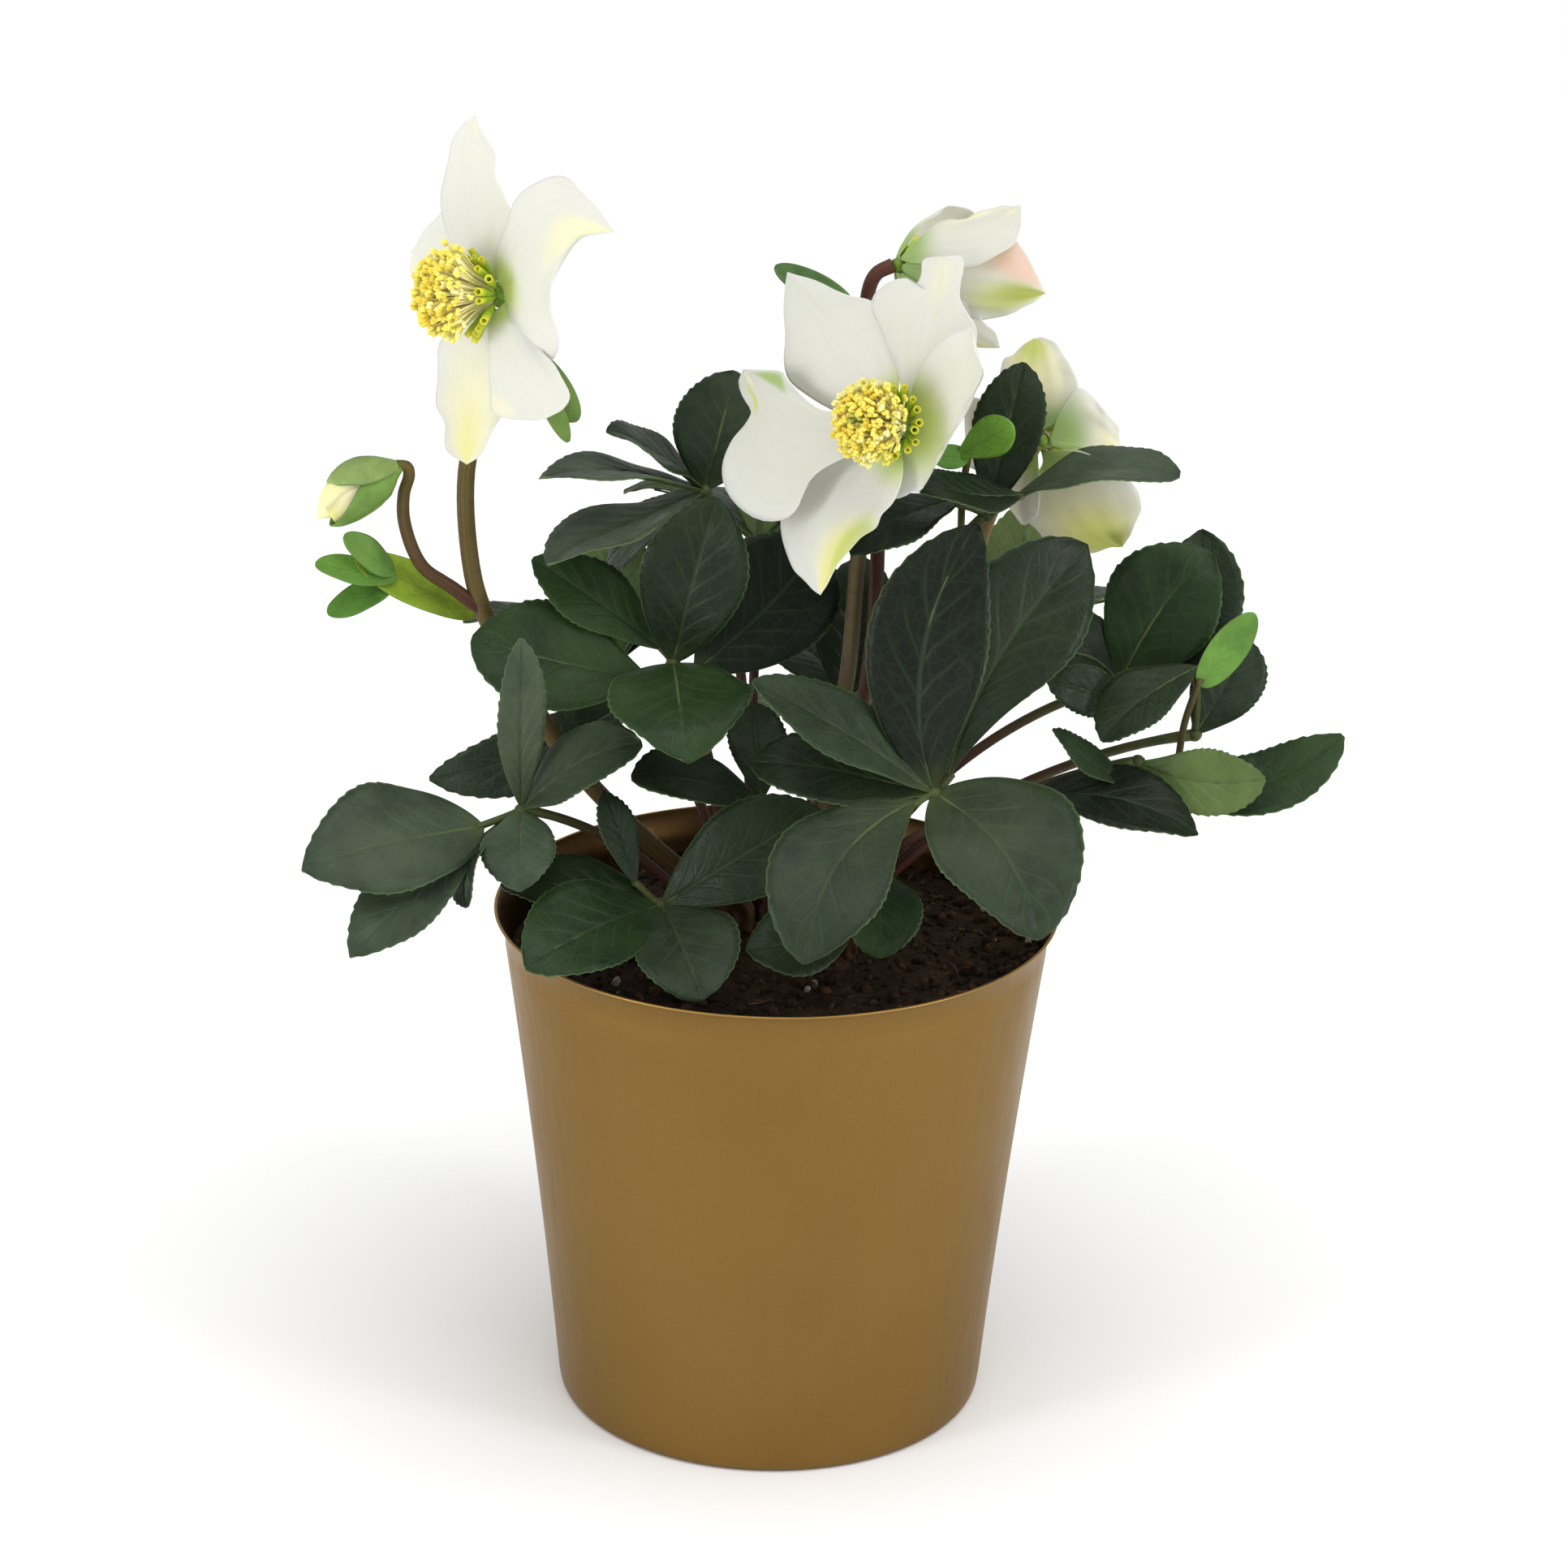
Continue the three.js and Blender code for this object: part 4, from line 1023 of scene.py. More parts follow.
# Flowers: centre is the foot of the stamens, axis points the way the flower looks, and to is the
# place of a sepal's tip from the centre. A sepal with a foot is rooted on that side instead. left and
# right are its margins and patches its colours, as add_sepal says.
LEFT_SEPALS = [
    dict(
        to=(-6, 8, 40), arch=-3, bend=-5, face=(-0.8, -0.6, 0.1), twist=4,
        left=[(0.1, -7.5), (0.25, -12.8), (0.43, -15.4), (0.59, -13.4), (0.77, -9.5), (0.92, -3.4)],
        right=[(0.04, 5.5), (0.2, 8.6), (0.4, 9.8), (0.62, 8.2), (0.82, 7.7), (0.91, 5.6), (0.97, 3.2)],
        end=(1.03, 2.2), wave=0.5, glow=6, patches=[(CREAM, 0.2, 1.02, 0.2, 0.5)],
    ),
    dict(
        to=(27, -18, 20), arch=3, bend=-7, face=(-0.6, -0.7, 0.4), twist=0,
        left=[
            (0.06, -5), (0.25, -7.6), (0.4, -10.6), (0.55, -11), (0.68, -10.8), (0.77, -7.6), (0.88, -4.2),
        ],
        right=[
            (-0.1, 4), (-0.24, 12), (-0.26, 19.5), (-0.12, 23), (0.08, 20.8), (0.3, 18.6), (0.49, 17),
            (0.64, 12.4), (0.73, 6.9), (0.8, 3.4), (0.9, 1.8),
        ],
        wave=0.4, curl=3, glow=7, patches=[(CREAM, 0.2, 0.85, 0.4, 0.6), (LEMON, 0.5, 0.98, 0.24, 0.35)],
    ),
    dict(
        to=(13, -24, -23), arch=-1, face=(-0.5, -0.8, 0.1), twist=0,
        left=[
            (0.02, -4.6), (0.2, -4.6), (0.4, -4.8), (0.55, -6.2), (0.7, -8), (0.88, -9), (1, -8.7),
            (1.05, -6),
        ],
        right=[(0.02, 5), (0.13, 7), (0.3, 10), (0.45, 13), (0.56, 15.2), (0.67, 13.4), (0.84, 7.5)],
        wave=0.4, glow=6, patches=[(CREAM, 0.9, 0.6, 0.2, 0.4)],
    ),
    dict(
        to=(-7, 2, -42), arch=-1, bend=4, face=(-0.7, -0.7, 0.1), twist=0,
        left=[(0.03, -4.4), (0.2, -8), (0.44, -11), (0.62, -11.8), (0.76, -10.2), (0.84, -7.6), (0.94, -5)],
        right=[(0.03, 4), (0.24, 9.8), (0.42, 13.8), (0.6, 12.6), (0.72, 12), (0.8, 8), (0.92, 6.5)],
        wave=0.5, glow=6, patches=[(CREAM, -0.1, 0.9, 0.8, 0.7), (LEMON, 0, 1.08, 0.55, 0.7)],
    ),
    dict(to=(-22, 31, 2), width=30, arch=-2, patches=[(CREAM, -0.8, 0.7, 0.35, 0.6)]),
]
CENTRE_SEPALS = [
    dict(
        to=(-27, 24, 30), foot=(-25, 23, 32), arch=-3, bend=-4, twist=4,
        left=[
            (0.06, -4.4), (0.25, -9), (0.43, -12), (0.56, -13.6), (0.65, -12), (0.75, -8.3), (0.88, -4.3),
        ],
        right=[
            (0.03, 3.2), (0.12, 9.9), (0.23, 14), (0.38, 16), (0.53, 15.8), (0.62, 14.4), (0.7, 11.8),
            (0.79, 9), (0.91, 4.8),
        ],
        wave=0.5,
    ),
    dict(
        to=(8, -1, 40), arch=-3, bend=1,
        left=[
            (0.1, -4), (0.25, -9.6), (0.41, -16.4), (0.5, -18.5), (0.61, -18.2), (0.71, -15.6), (0.78, -12),
            (0.8, -9.4), (0.77, -7.6), (0.84, -6.4), (0.95, -5.4),
        ],
        right=[
            (0.06, 2), (0.21, 6), (0.37, 9.4), (0.51, 10.9), (0.63, 10.1), (0.72, 7.5), (0.79, 5.4),
            (0.88, 5.6), (0.96, 6.2), (1.02, 5.6),
        ],
        curl=1.5, glow=7, patches=[(CREAM, 0, 0.98, 0.4, 0.3)],
    ),
    dict(
        to=(18, -26, 18), arch=-4,
        left=[(0, -3.7), (0.11, -9.4), (0.32, -13.8), (0.69, -14.6), (1.1, -11.5), (1.16, -7)],
        right=[
            (-0.1, 3), (-0.26, 7.5), (-0.32, 12), (-0.3, 15.2), (-0.2, 15.8), (-0.16, 15.2), (-0.1, 16),
            (-0.03, 14), (0.04, 12.4), (0.1, 9.8), (0.17, 8.8), (0.21, 7.7), (0.34, 6.2), (0.42, 4.4),
            (0.53, 1.4), (0.72, -0.4),
        ],
        end=(1.14, -2), wave=0.6, glow=12,
    ),
    dict(
        to=(-18, -12, -38), arch=-2, bend=8,
        left=[
            (0, -4.4), (0.04, -9.6), (0.15, -12.6), (0.33, -12.6), (0.52, -11.3), (0.65, -8.6),
            (0.78, -6.2), (0.9, -4.2),
        ],
        right=[
            (0.1, 2.6), (0.23, 8.7), (0.35, 13.5), (0.46, 16), (0.53, 16.3), (0.61, 16.4), (0.66, 15.3),
            (0.73, 13.3), (0.82, 9.7), (0.89, 5.6), (0.96, 2.2),
        ],
        wave=0.6,
        patches=[
            (CREAM, -0.3, 0.9, 0.5, 0.7), (LEMON, -0.4, 0.88, 0.4, 0.7), (LIME, -0.75, 0.7, 0.32, 0.7),
        ],
    ),
    dict(
        to=(-37, 21, 7), foot=(-40, 21, -16), arch=2, bend=-7, twist=9,
        left=[
            (0.06, -2.8), (0.2, -5), (0.34, -9.2), (0.39, -13.7), (0.4, -18.5), (0.43, -21.7),
            (0.48, -23.7), (0.53, -24.5), (0.58, -24.3), (0.63, -23.5), (0.68, -22), (0.72, -19.9),
            (0.75, -17.4), (0.77, -14.4), (0.78, -11.6), (0.78, -7.5), (0.8, -4.6), (0.9, -3.8),
            (0.96, -2.7),
        ],
        right=[
            (0.02, 2.7), (0.2, 5.6), (0.39, 4.8), (0.57, 6), (0.74, 7.1), (0.82, 7.6), (0.89, 5.6),
            (0.96, 2.3),
        ],
        wave=0.4,
        patches=[
            (SHADE, 0, 0.7, 0.9, 0.4), (GREEN, 0.72, 0.8, 0.17, 0.75), (LIME, -0.35, 0.85, 0.11, 0.8),
            (CREAM, 0, 0.97, 0.12, 0.5),
        ],
    ),
]
BACK_SEPALS = [
    dict(
        to=(28, 4, 14), arch=-7, bend=-5, cup=0.2,
        left=[(0.1, -3.5), (0.26, -7), (0.43, -11), (0.57, -12.4), (0.69, -11.6), (0.83, -7)],
        right=[(0.03, 1.3), (0.09, 4.2), (0.21, 5.4), (0.36, 5.6), (0.54, 3.4), (0.72, 2), (0.88, 1.4)],
        patches=[(CREAM, 0.6, 0.6, 0.3, 0.5), (CREAM, -0.3, 0.95, 0.2, 0.5)],
    ),
    dict(
        to=(34, -8, -4), arch=-5, cup=0.2,
        left=[(0.15, -4), (0.36, -7), (0.62, -8.4), (0.78, -6.4), (0.9, -3.2)],
        right=[(0.1, 3.4), (0.25, 7), (0.48, 10.3), (0.74, 12), (0.82, 9.8), (0.9, 6.2)],
        patches=[
            (PINK, 0.7, 0.74, 0.32, 0.7), (LIME, -0.3, 0.8, 0.42, 0.65), (OLIVE, -0.1, 0.96, 0.4, 0.85),
        ],
    ),
    dict(
        to=(24, -2, -19), width=20, arch=-6, cup=0.5,
        patches=[(CREAM, 0, 0.85, 0.35, 0.8), (LEMON, 0.4, 0.5, 0.25, 0.5)],
    ),
    dict(to=(18, 22, -14), width=16, arch=-6, cup=0.2),
    dict(to=(22, 20, 3), width=16, arch=-7, cup=0.2),
]
RIGHT_SEPALS = [
    dict(
        to=(-1, 22, 19), arch=-4, bend=-1, face=(0.3, 0.88, -0.1),
        left=[(0.13, -9), (0.26, -10.8), (0.4, -10.4), (0.53, -8.9), (0.74, -6.5), (0.9, -4.2)],
        right=[(0.04, 6), (0.22, 8), (0.53, 9), (0.8, 7.6), (0.98, 4.6)],
        end=(1.04, 0.6), patches=[(CREAM, 0, 0.6, 0.6, 0.7), (LIME, 0.1, 1.0, 0.6, 0.8)],
    ),
    dict(
        to=(20, 15, -3), foot=(24, 16, 4), arch=-7, face=(0.2, 0.88, -0.2),
        left=[(0.22, -2.6), (0.5, -8.7), (0.75, -11.4), (0.88, -9.5)],
        right=[(0.07, 9), (0.17, 13.5), (0.3, 11.6), (0.44, 7.6), (0.73, 1.7)],
        end=(0.9, -3.5), patches=[(CREAM, 0, 0.7, 0.4, 0.6)],
    ),
    dict(
        to=(22, 10, -29), arch=-5,
        left=[
            (0.07, -1.7), (0.21, -10.2), (0.39, -15.9), (0.5, -16.9), (0.65, -16.4), (0.92, -16.2),
            (1.05, -12),
        ],
        right=[(0.04, 10.8), (0.18, 17.8), (0.3, 20.8), (0.39, 20.7), (0.58, 17.2), (0.8, 8.4)],
        end=(1.04, -2),
        patches=[(LEMON, 0, 0.95, 0.8, 0.85), (LIME, 0.1, 0.95, 0.6, 0.7), (OLIVE, 0.4, 0.92, 0.26, 0.8)],
    ),
    dict(to=(-6, 21, -23), width=20, arch=-5, patches=[(LEMON, 0, 0.8, 0.4, 0.6)]),
    dict(to=(-17, 27, -1), width=19, arch=-7, twist=5, patches=[(LIME, 0, 1.0, 0.4, 0.6)]),
]
FLOWERS = {
    "left": dict(centre=(-68, -12, 287), axis=(-0.93, -0.33, 0.1), sepals=LEFT_SEPALS),
    "centre": dict(centre=(27, -22, 260), axis=(-0.64, -0.72, 0.27), sepals=CENTRE_SEPALS),
    "back": dict(centre=(27, 10, 290), axis=(0.9, 0.35, -0.15), size=0.6, sepals=BACK_SEPALS),
    "right": dict(centre=(62, 12, 247), axis=(0.5, 0.85, 0.1), size=0.7, sepals=RIGHT_SEPALS),
}


def flower_frame(flower):
    """A flower's centre, its axis, two directions across it and its size."""
    axis = unit(flower["axis"])
    first = unit(np.cross(axis, (0.3, -0.5, 0.8)))
    return np.array(flower["centre"], float), axis, first, np.cross(axis, first), flower.get("size", 1)


def make_sepals(name, flower):
    """The five sepals of a flower, each a piece of its own."""
    centre, axis, _, _, size = flower_frame(flower)
    for number, sepal in enumerate(flower["sepals"], 1):
        spec = {**SEPAL_DEFAULTS, "face": axis, **sepal}
        to = np.array(spec.pop("to"), float)
        rooted = np.array(spec.pop("foot", to), float)
        out = unit(rooted - np.dot(rooted, axis) * axis)
        start = centre + out * SEPAL_FOOT_RADIUS * size - axis * SEPAL_FOOT_DEPTH
        shape = Shape()
        add_sepal(shape, rng.random(), start, centre + to, foot=SEPAL_FOOT_HALF * size, **spec)
        shape.piece(f"sepal_{name}_{number}", [sepal_skin])


NECTARY_COUNT = 20
STAMEN_COUNT = 270
# Where nectaries and stamens are rooted: distance from the flower's axis, level.
NECTARY_FOOT = (4.2, 1.2)
STAMEN_FOOT = (2.6, 1.0)
# The boss of stamens in a flower of size 1: its radius and height at the middle and how far it falls.
BOSS_RADIUS, BOSS_HEIGHT, BOSS_FALL = 10.4, 17.3, 6.5
ANTHER_RADIUS = 0.55
ANTHER_LOBE_OFFSET = 0.38
ANTHER_LEMON = srgb(250, 236, 112)
ANTHER_GOLD = srgb(250, 222, 86)
ANTHER_PALE = srgb(248, 240, 168)
FILAMENT = srgb(252, 243, 176)
NECTARY_GREEN = srgb(158, 190, 40)
NECTARY_LIP = srgb(226, 222, 60)
# A nectary's outline as shares of its width and height: up the outside, over the lip and down inside.
NECTARY_PROFILE = [
    (0, 0), (0.4, 0), (0.75, 0.3), (1, 0.7), (0.85, 0.95), (0.95, 1), (0.6, 0.97), (0.4, 0.7), (0, 0.6),
]
# How wide the boss of stamens and the ring of nectaries spread in each flower.
BOSS_SPREAD = {"left": 0.95, "centre": 0.84, "back": 1.0, "right": 0.95}


def make_nectaries(name, flower):
    """The ring of green tubes between sepals and stamens."""
    centre, axis, first, second, size = flower_frame(flower)
    spread_out = BOSS_SPREAD[name]
    shape = Shape()
    for i in range(NECTARY_COUNT):
        angle = 2 * math.pi * (i + rng.uniform(-0.2, 0.2)) / NECTARY_COUNT
        out = spoke(first, second, angle)
        lean = rng.uniform(0.7, 1.1)
        way = unit(out * math.sin(lean) + axis * math.cos(lean))
        foot = centre + (out * NECTARY_FOOT[0] + axis * NECTARY_FOOT[1]) * size
        tall = rng.uniform(7.0, 9.6) * size * spread_out**2
        wide = rng.uniform(0.85, 1.15) * size
        profile = np.array(NECTARY_PROFILE) * (wide, tall)
        body, lip = NECTARY_GREEN * rng.uniform(0.8, 1.15), NECTARY_LIP * rng.uniform(0.9, 1.1)
        # Down inside the cup the green darkens to 0.6 of the body: painted shade in the hollow.
        paints = [body * 0.9, body * 0.9, body, body, lip, lip, lip, body * 0.8, body * 0.6]
        add_lathe(shape, profile, foot, way, 0, rng.random(), np.array(paints), sides=10)
    shape.piece("nectaries_" + name, [nectary_skin])


def make_stamens(name, flower):
    """The boss of stamens: curved filaments with two-lobed anthers, evenly spread in a spiral."""
    centre, axis, first, second, size = flower_frame(flower)
    shape = Shape()
    spread_out = BOSS_SPREAD[name]
    golden = math.pi * (3 - math.sqrt(5))
    for i in range(STAMEN_COUNT):
        share = (i + 0.5) / STAMEN_COUNT
        angle = i * golden + rng.uniform(-0.15, 0.15)
        out = spoke(first, second, angle)
        far = (1.2 + BOSS_RADIUS * math.sqrt(share) * rng.uniform(0.9, 1.1)) * spread_out
        level = BOSS_HEIGHT - BOSS_FALL * share**1.5 + rng.uniform(-2.4, 1.5)
        foot = centre + (out * STAMEN_FOOT[0] + axis * STAMEN_FOOT[1]) * size
        head = centre + (out * far + axis * level) * size
        knee = centre + (out * (1.9 + 0.35 * far) + axis * level * 0.6) * size
        line = bezier(foot, (foot + knee) / 2, knee, head, 6)
        add_tube(shape, line, np.linspace(0.3, 0.2, 6) * size, 0, rng.random(), FILAMENT, sides=5)
        way = unit(head - knee + rng.normal(0, 0.9, 3))
        flat = unit(np.cross(way, axis + rng.normal(0, 0.4, 3)))
        deep = np.cross(way, flat)
        pick = rng.random() + 0.5 * share
        colour = ANTHER_GOLD if pick < 0.4 else ANTHER_LEMON if pick < 1.05 else ANTHER_PALE
        colour = colour * rng.uniform(0.88, 1.08)
        for lobe in (-1, 1):
            middle = head + flat * ANTHER_LOBE_OFFSET * lobe * size
            length = rng.uniform(0.75, 1.05)
            axes = (flat * ANTHER_RADIUS * size, deep * ANTHER_RADIUS * size, way * length * size)
            add_lump(shape, middle, axes, 1, rng.random(), colour, rings=5, sides=6)
    shape.piece("stamens_" + name, [filament_skin, anther_skin])


for flower_name, flower_spec in FLOWERS.items():
    make_sepals(flower_name, flower_spec)
    make_nectaries(flower_name, flower_spec)
    make_stamens(flower_name, flower_spec)

# ---------------------------------------------------------------- stems

STEM_PAINT = {
    "left": (srgb(80, 58, 32), srgb(100, 92, 38)),
    "centre": (srgb(66, 46, 32), srgb(94, 88, 50)),
    "back": (srgb(64, 42, 32), srgb(92, 54, 42)),
    "right": (srgb(96, 46, 36), srgb(128, 118, 66)),
}
NECK_DEPTH = 3.5  # of a stem's end behind its flower's centre
STYLE_COUNT = 6
STYLE_PATH = [(0.9, 0.5), (1.15, 5), (0.9, 11), (1.5, 17.5)]  # distance from the flower's axis, level
STYLE_LIME = srgb(214, 222, 120)
FORK_BROWN = srgb(72, 38, 28)
# The cup that the flower's parts stand on: distance from the axis, level.
RECEPTACLE_PROFILE = [(0, -4), (2.0, -4), (2.9, -2.4), (3.1, -0.8), (2.6, 0.3), (2.0, 0.8), (0, 1.0)]


def make_stem(name, stem, flower):
    """A flower stem with its fork if it has one, and the flower's receptacle and styles."""
    centre, axis, first, second, size = flower_frame(flower)
    shape = Shape()
    foot = [(*stem["foot"], FOOT_HEIGHT), (*stem["foot"], FOOT_HEIGHT + 6)]
    neck = centre - axis * NECK_DEPTH * size
    line = through([*foot, *stem["path"], neck], 7)
    t = np.linspace(0, 1, len(line))[:, None]
    low, high = STEM_PAINT[name]
    colour = blend(low, high, t)
    radii = stem["radius"] * np.interp(t[:, 0], [0, 0.05, 0.9, 1], [1.25, 1.05, 0.95, 1.0])
    add_tube(shape, line, radii, 0, rng.random(), colour, sides=14)
    if "fork" in stem:
        fork = through(stem["fork"], 7)
        t = np.linspace(0, 1, len(fork))[:, None]
        colour = blend(FORK_BROWN, high, t)
        radii = stem["fork_radius"] * np.interp(t[:, 0], [0, 0.8, 1], [1.25, 1, 0.8])
        add_tube(shape, fork, radii, 0, rng.random(), colour, sides=12)
    cup = np.array(RECEPTACLE_PROFILE) * size
    add_lathe(shape, cup, centre, axis, 0, rng.random(), GREEN * 0.8, sides=20)
    for angle in full_turn(STYLE_COUNT):
        out = spoke(first, second, angle)
        points = [centre + (out * r + axis * z) * size for r, z in STYLE_PATH]
        radii = np.linspace(1.0, 0.45, 13) * size
        add_tube(shape, through(points, 4), radii, 0, rng.random(), STYLE_LIME, sides=7)
    shape.piece("stem_" + name, [stalk_skin])


for flower_name, stem_spec in STEMS.items():
    make_stem(flower_name, stem_spec, FLOWERS[flower_name])

# ---------------------------------------------------------------- bud and bracts


# The bud's outer sepals: (level from the bud's base, distance from its axis, half the angle that
# the sepal wraps), and the level, radius and lift of the white core inside them.
BUD_UPPER = [
    (0, 1.2, 100), (2, 3.2, 90), (4.5, 5.4, 80), (7.7, 7.2, 71), (10, 7.7, 64), (12.5, 7.7, 50),
    (15, 7.2, 32), (17, 6.4, 6),
]
BUD_LOWER = [
    (0.3, 1, 100), (3, 2.6, 118), (5, 4.3, 122), (7.5, 5.2, 122), (10.3, 5.6, 119), (13, 5.7, 106),
    (15.5, 5.6, 92), (19.3, 4.7, 68), (21.4, 3.5, 36), (22, 3.1, 6),
]
BUD_CORE = [
    (0.6, 0.8, 0), (3, 2, 0.4), (6, 3.3, 0.9), (9, 4.3, 1.3), (14, 4.8, 1.5), (17, 4.4, 1.4),
    (20.5, 2.7, 0.6), (22.6, 1.1, 0.2), (23.6, 0.3, 0),
]
BUD_THICKNESS = 0.4
BUD_GREEN_UPPER = srgb(128, 154, 88)
BUD_GREEN_LOWER = srgb(112, 148, 70)


def add_wrap(shape, bud, rows, turn, slots, seed, colour, tip_colour, edge=0.0, count=36):
    """A sepal that wraps part of a bud; edge moves its margins in or out."""
    base, axis, up, side = bud
    line = even_line(rows, count + 1)
    level, radius, wrap = line.T[..., None]
    u = np.linspace(-1, 1, 25)[None]
    t = np.linspace(0, 1, count + 1)[:, None]
    angle = np.radians(turn + u * wrap)
    out = up * np.cos(angle)[..., None] + side * np.sin(angle)[..., None]
    ridge = 0.25 * np.exp(-((u / 0.12) ** 2)) + 0.12 * np.sin(9 * u + 20 * seed)
    radius = radius + edge * u**2 + ridge * np.sin(np.pi * t)
    middle = base + axis * level[..., None] + out * radius[..., None]
    paint = spread(blend(colour, tip_colour, smoothstep(0.55, 1.0, t)[..., None]), middle)
    thickness = np.full(angle.shape, BUD_THICKNESS)
    add_sheet(shape, middle, out, thickness, slots, vertex_places(u, t, seed), paint, paint)


def make_bud():
    """The drooping bud: a cream core and two green outer sepals around it."""
    base, tip = np.array(BUD["base"], float), np.array(BUD["tip"], float)
    axis = unit(tip - base)
    up = unit(np.array([0, 0, 1.0]) - axis[2] * axis)
    bud = (base, axis, up, np.cross(axis, up))
    core = Shape()
    line = even_line(BUD_CORE, 40)
    t = np.linspace(0, 1, 40)[:, None]
    paint = LIME * (0.6 - 0.6 * t) + CREAM * (0.4 + 0.6 * t)
    centres = base + axis * line[:, :1] + up * line[:, 2:]
    add_tube(core, centres, line[:, 1], 0, 6.0, paint, sides=36)
    petal = [(z, r + 0.2, 50 + 2.5 * z) for z, r, _ in BUD_CORE[2:-2]]
    add_wrap(core, bud, petal, -60, (0, 0), 0.7, CREAM, LEMON)
    core.piece("bud_core", [sepal_skin])
    for name, rows, turn, colour, edge in (
        ("bud_sepal_upper", BUD_UPPER, 0, BUD_GREEN_UPPER, -1.2),
        ("bud_sepal_lower", BUD_LOWER, 180, BUD_GREEN_LOWER, 0.2),
    ):
        shape = Shape()
        add_wrap(shape, bud, rows, turn, (0, 1), 0.2 + turn / 300, colour * 0.9, colour * 1.15, edge)
        shape.piece(name, LEAF_SKINS)


BRACT_THICKNESS = 0.45
BRACT_STALK_RADIUS = 0.9
BRACT_CUP = 0.15
BRACT_WAVE = 0.25


def add_bract_blade(shape, seed, start, tip, width, face, colour, belly, fullness, arch=0, bend=0):
    """A soft smooth-edged lobe of a bract."""
    t = np.linspace(0, 1, 37)
    u = np.linspace(-1, 1, 15)[None]
    midrib, across, _, normal = blade_skeleton(start, tip, face, arch, bend, 0, t)
    t = t[:, None]
    half = np.maximum(0.5, width / 2 * outline(t, belly, fullness))
    reach = u * half
    wave = np.sin(2 * np.pi * (1.5 * t + seed * 4))
    lift = (BRACT_CUP * half + BRACT_WAVE * wave) * u**2
    middle = midrib[:, None] + across[:, None] * reach[..., None] + normal[:, None] * lift[..., None]
    paint = spread(colour, middle)
    thickness = np.full(lift.shape, BRACT_THICKNESS)
    place = vertex_places(u, t, seed)
    add_sheet(shape, middle, normal[:, None], thickness, (0, 1), place, paint, paint * 1.1)


BRACT_PAINT = {
    "bract_left": [srgb(134, 160, 44), srgb(100, 140, 66), srgb(92, 134, 56), srgb(80, 122, 46)],
    "bract_left_flower": [srgb(94, 122, 60)],
    "bract_back_flower": [srgb(86, 118, 70)],
    "bract_centre": [srgb(116, 164, 62), srgb(96, 146, 56)],
    "bract_right": [srgb(96, 138, 58)],
}
BRACT_SHAPE = {"belly": 1.0, "fullness": 0.45}


def make_bract(name, bract):
    """A bract: one or more lobes, on a stalk where it has one."""
    shape = Shape()
    colours = BRACT_PAINT[name]
    if "path" in bract:
        line = through(bract["path"], 6)
        add_tube(shape, line, BRACT_STALK_RADIUS, 2, 0.4, PETIOLE_BROWN * 0.8 + colours[0] * 0.2, sides=9)
    for number, lobe in enumerate(bract["lobes"]):
        spec = {**BRACT_SHAPE, **lobe}
        start, tip = spec.pop("start"), spec.pop("to")
        colour = colours[number % len(colours)] * rng.uniform(0.94, 1.08)
        add_bract_blade(shape, rng.random(), start, tip, colour=colour, **spec)
    shape.piece(name, LEAF_SKINS)


make_bud()
for bract_name, bract_spec in BRACTS.items():
    make_bract(bract_name, bract_spec)

# ---------------------------------------------------------------- soil, crown and pot


def pot_radius(z):
    """The pot's outer radius at a height: slightly hollow walls, then the flared lip."""
    if z > POT_SHOULDER_HEIGHT:
        t = (z - POT_SHOULDER_HEIGHT) / (POT_HEIGHT - POT_SHOULDER_HEIGHT)
        return POT_SHOULDER_RADIUS + (POT_LIP_RADIUS - POT_SHOULDER_RADIUS) * t * t
    t = z / POT_SHOULDER_HEIGHT
    return POT_BASE_RADIUS + (POT_SHOULDER_RADIUS - POT_BASE_RADIUS) * t - 4 * POT_HOLLOW * t * (1 - t)


SOIL_BROWN = srgb(63, 48, 36)
PERLITE_GREY = srgb(196, 186, 168)
BARK_BROWN = srgb(104, 74, 52)
ROOT_TAN = srgb(120, 92, 64)
SOIL_DEPTH = 24
SOIL_RINGS, SOIL_SIDES = 70, 150
CRUMB_COUNT = 1500
ROOT_COUNT = 70
ROOT_RADIUS = 0.22
PERLITE_SHARE, BARK_SHARE = 0.02, 0.1


def soil_height(x, y):
    """Height of the crumbly surface, domed a little towards the crown."""
    r = math.hypot(x, y)
    dome = SOIL_DOME * (1 - smoothstep(CROWN_RADIUS, 60, r))
    rough = 1.1 * noise.fractal(Vector((x, y, 3.0)) / 9, 0.7, 2.1, 5)
    return SOIL_TOP + dome + rough


def add_mound(shape, radii, sides, height, paint, skirt=()):
    """A round top of rings, at the height of each place, and below it skirt rings (radius, height)."""
    angle = full_turn(sides)
    flat = [(r * math.cos(a), r * math.sin(a)) for r in radii for a in angle]
    verts = [(x, y, height(x, y)) for x, y in flat]
    verts += [(r * math.cos(a), r * math.sin(a), z) for r, z in skirt for a in angle]
    gaps = len(radii) + len(skirt) - 1
    shape.add(verts, [ring_quads(gaps, sides, inward=True), [range(sides)]], 0, (0, 0, 0), paint)


def soil_place(edge, low, high):
    """A random place on the soil; low and high are the shares of its area in between."""
    r, a = edge * math.sqrt(rng.uniform(low, high)), rng.uniform(0, 2 * math.pi)
    return r * math.cos(a), r * math.sin(a)


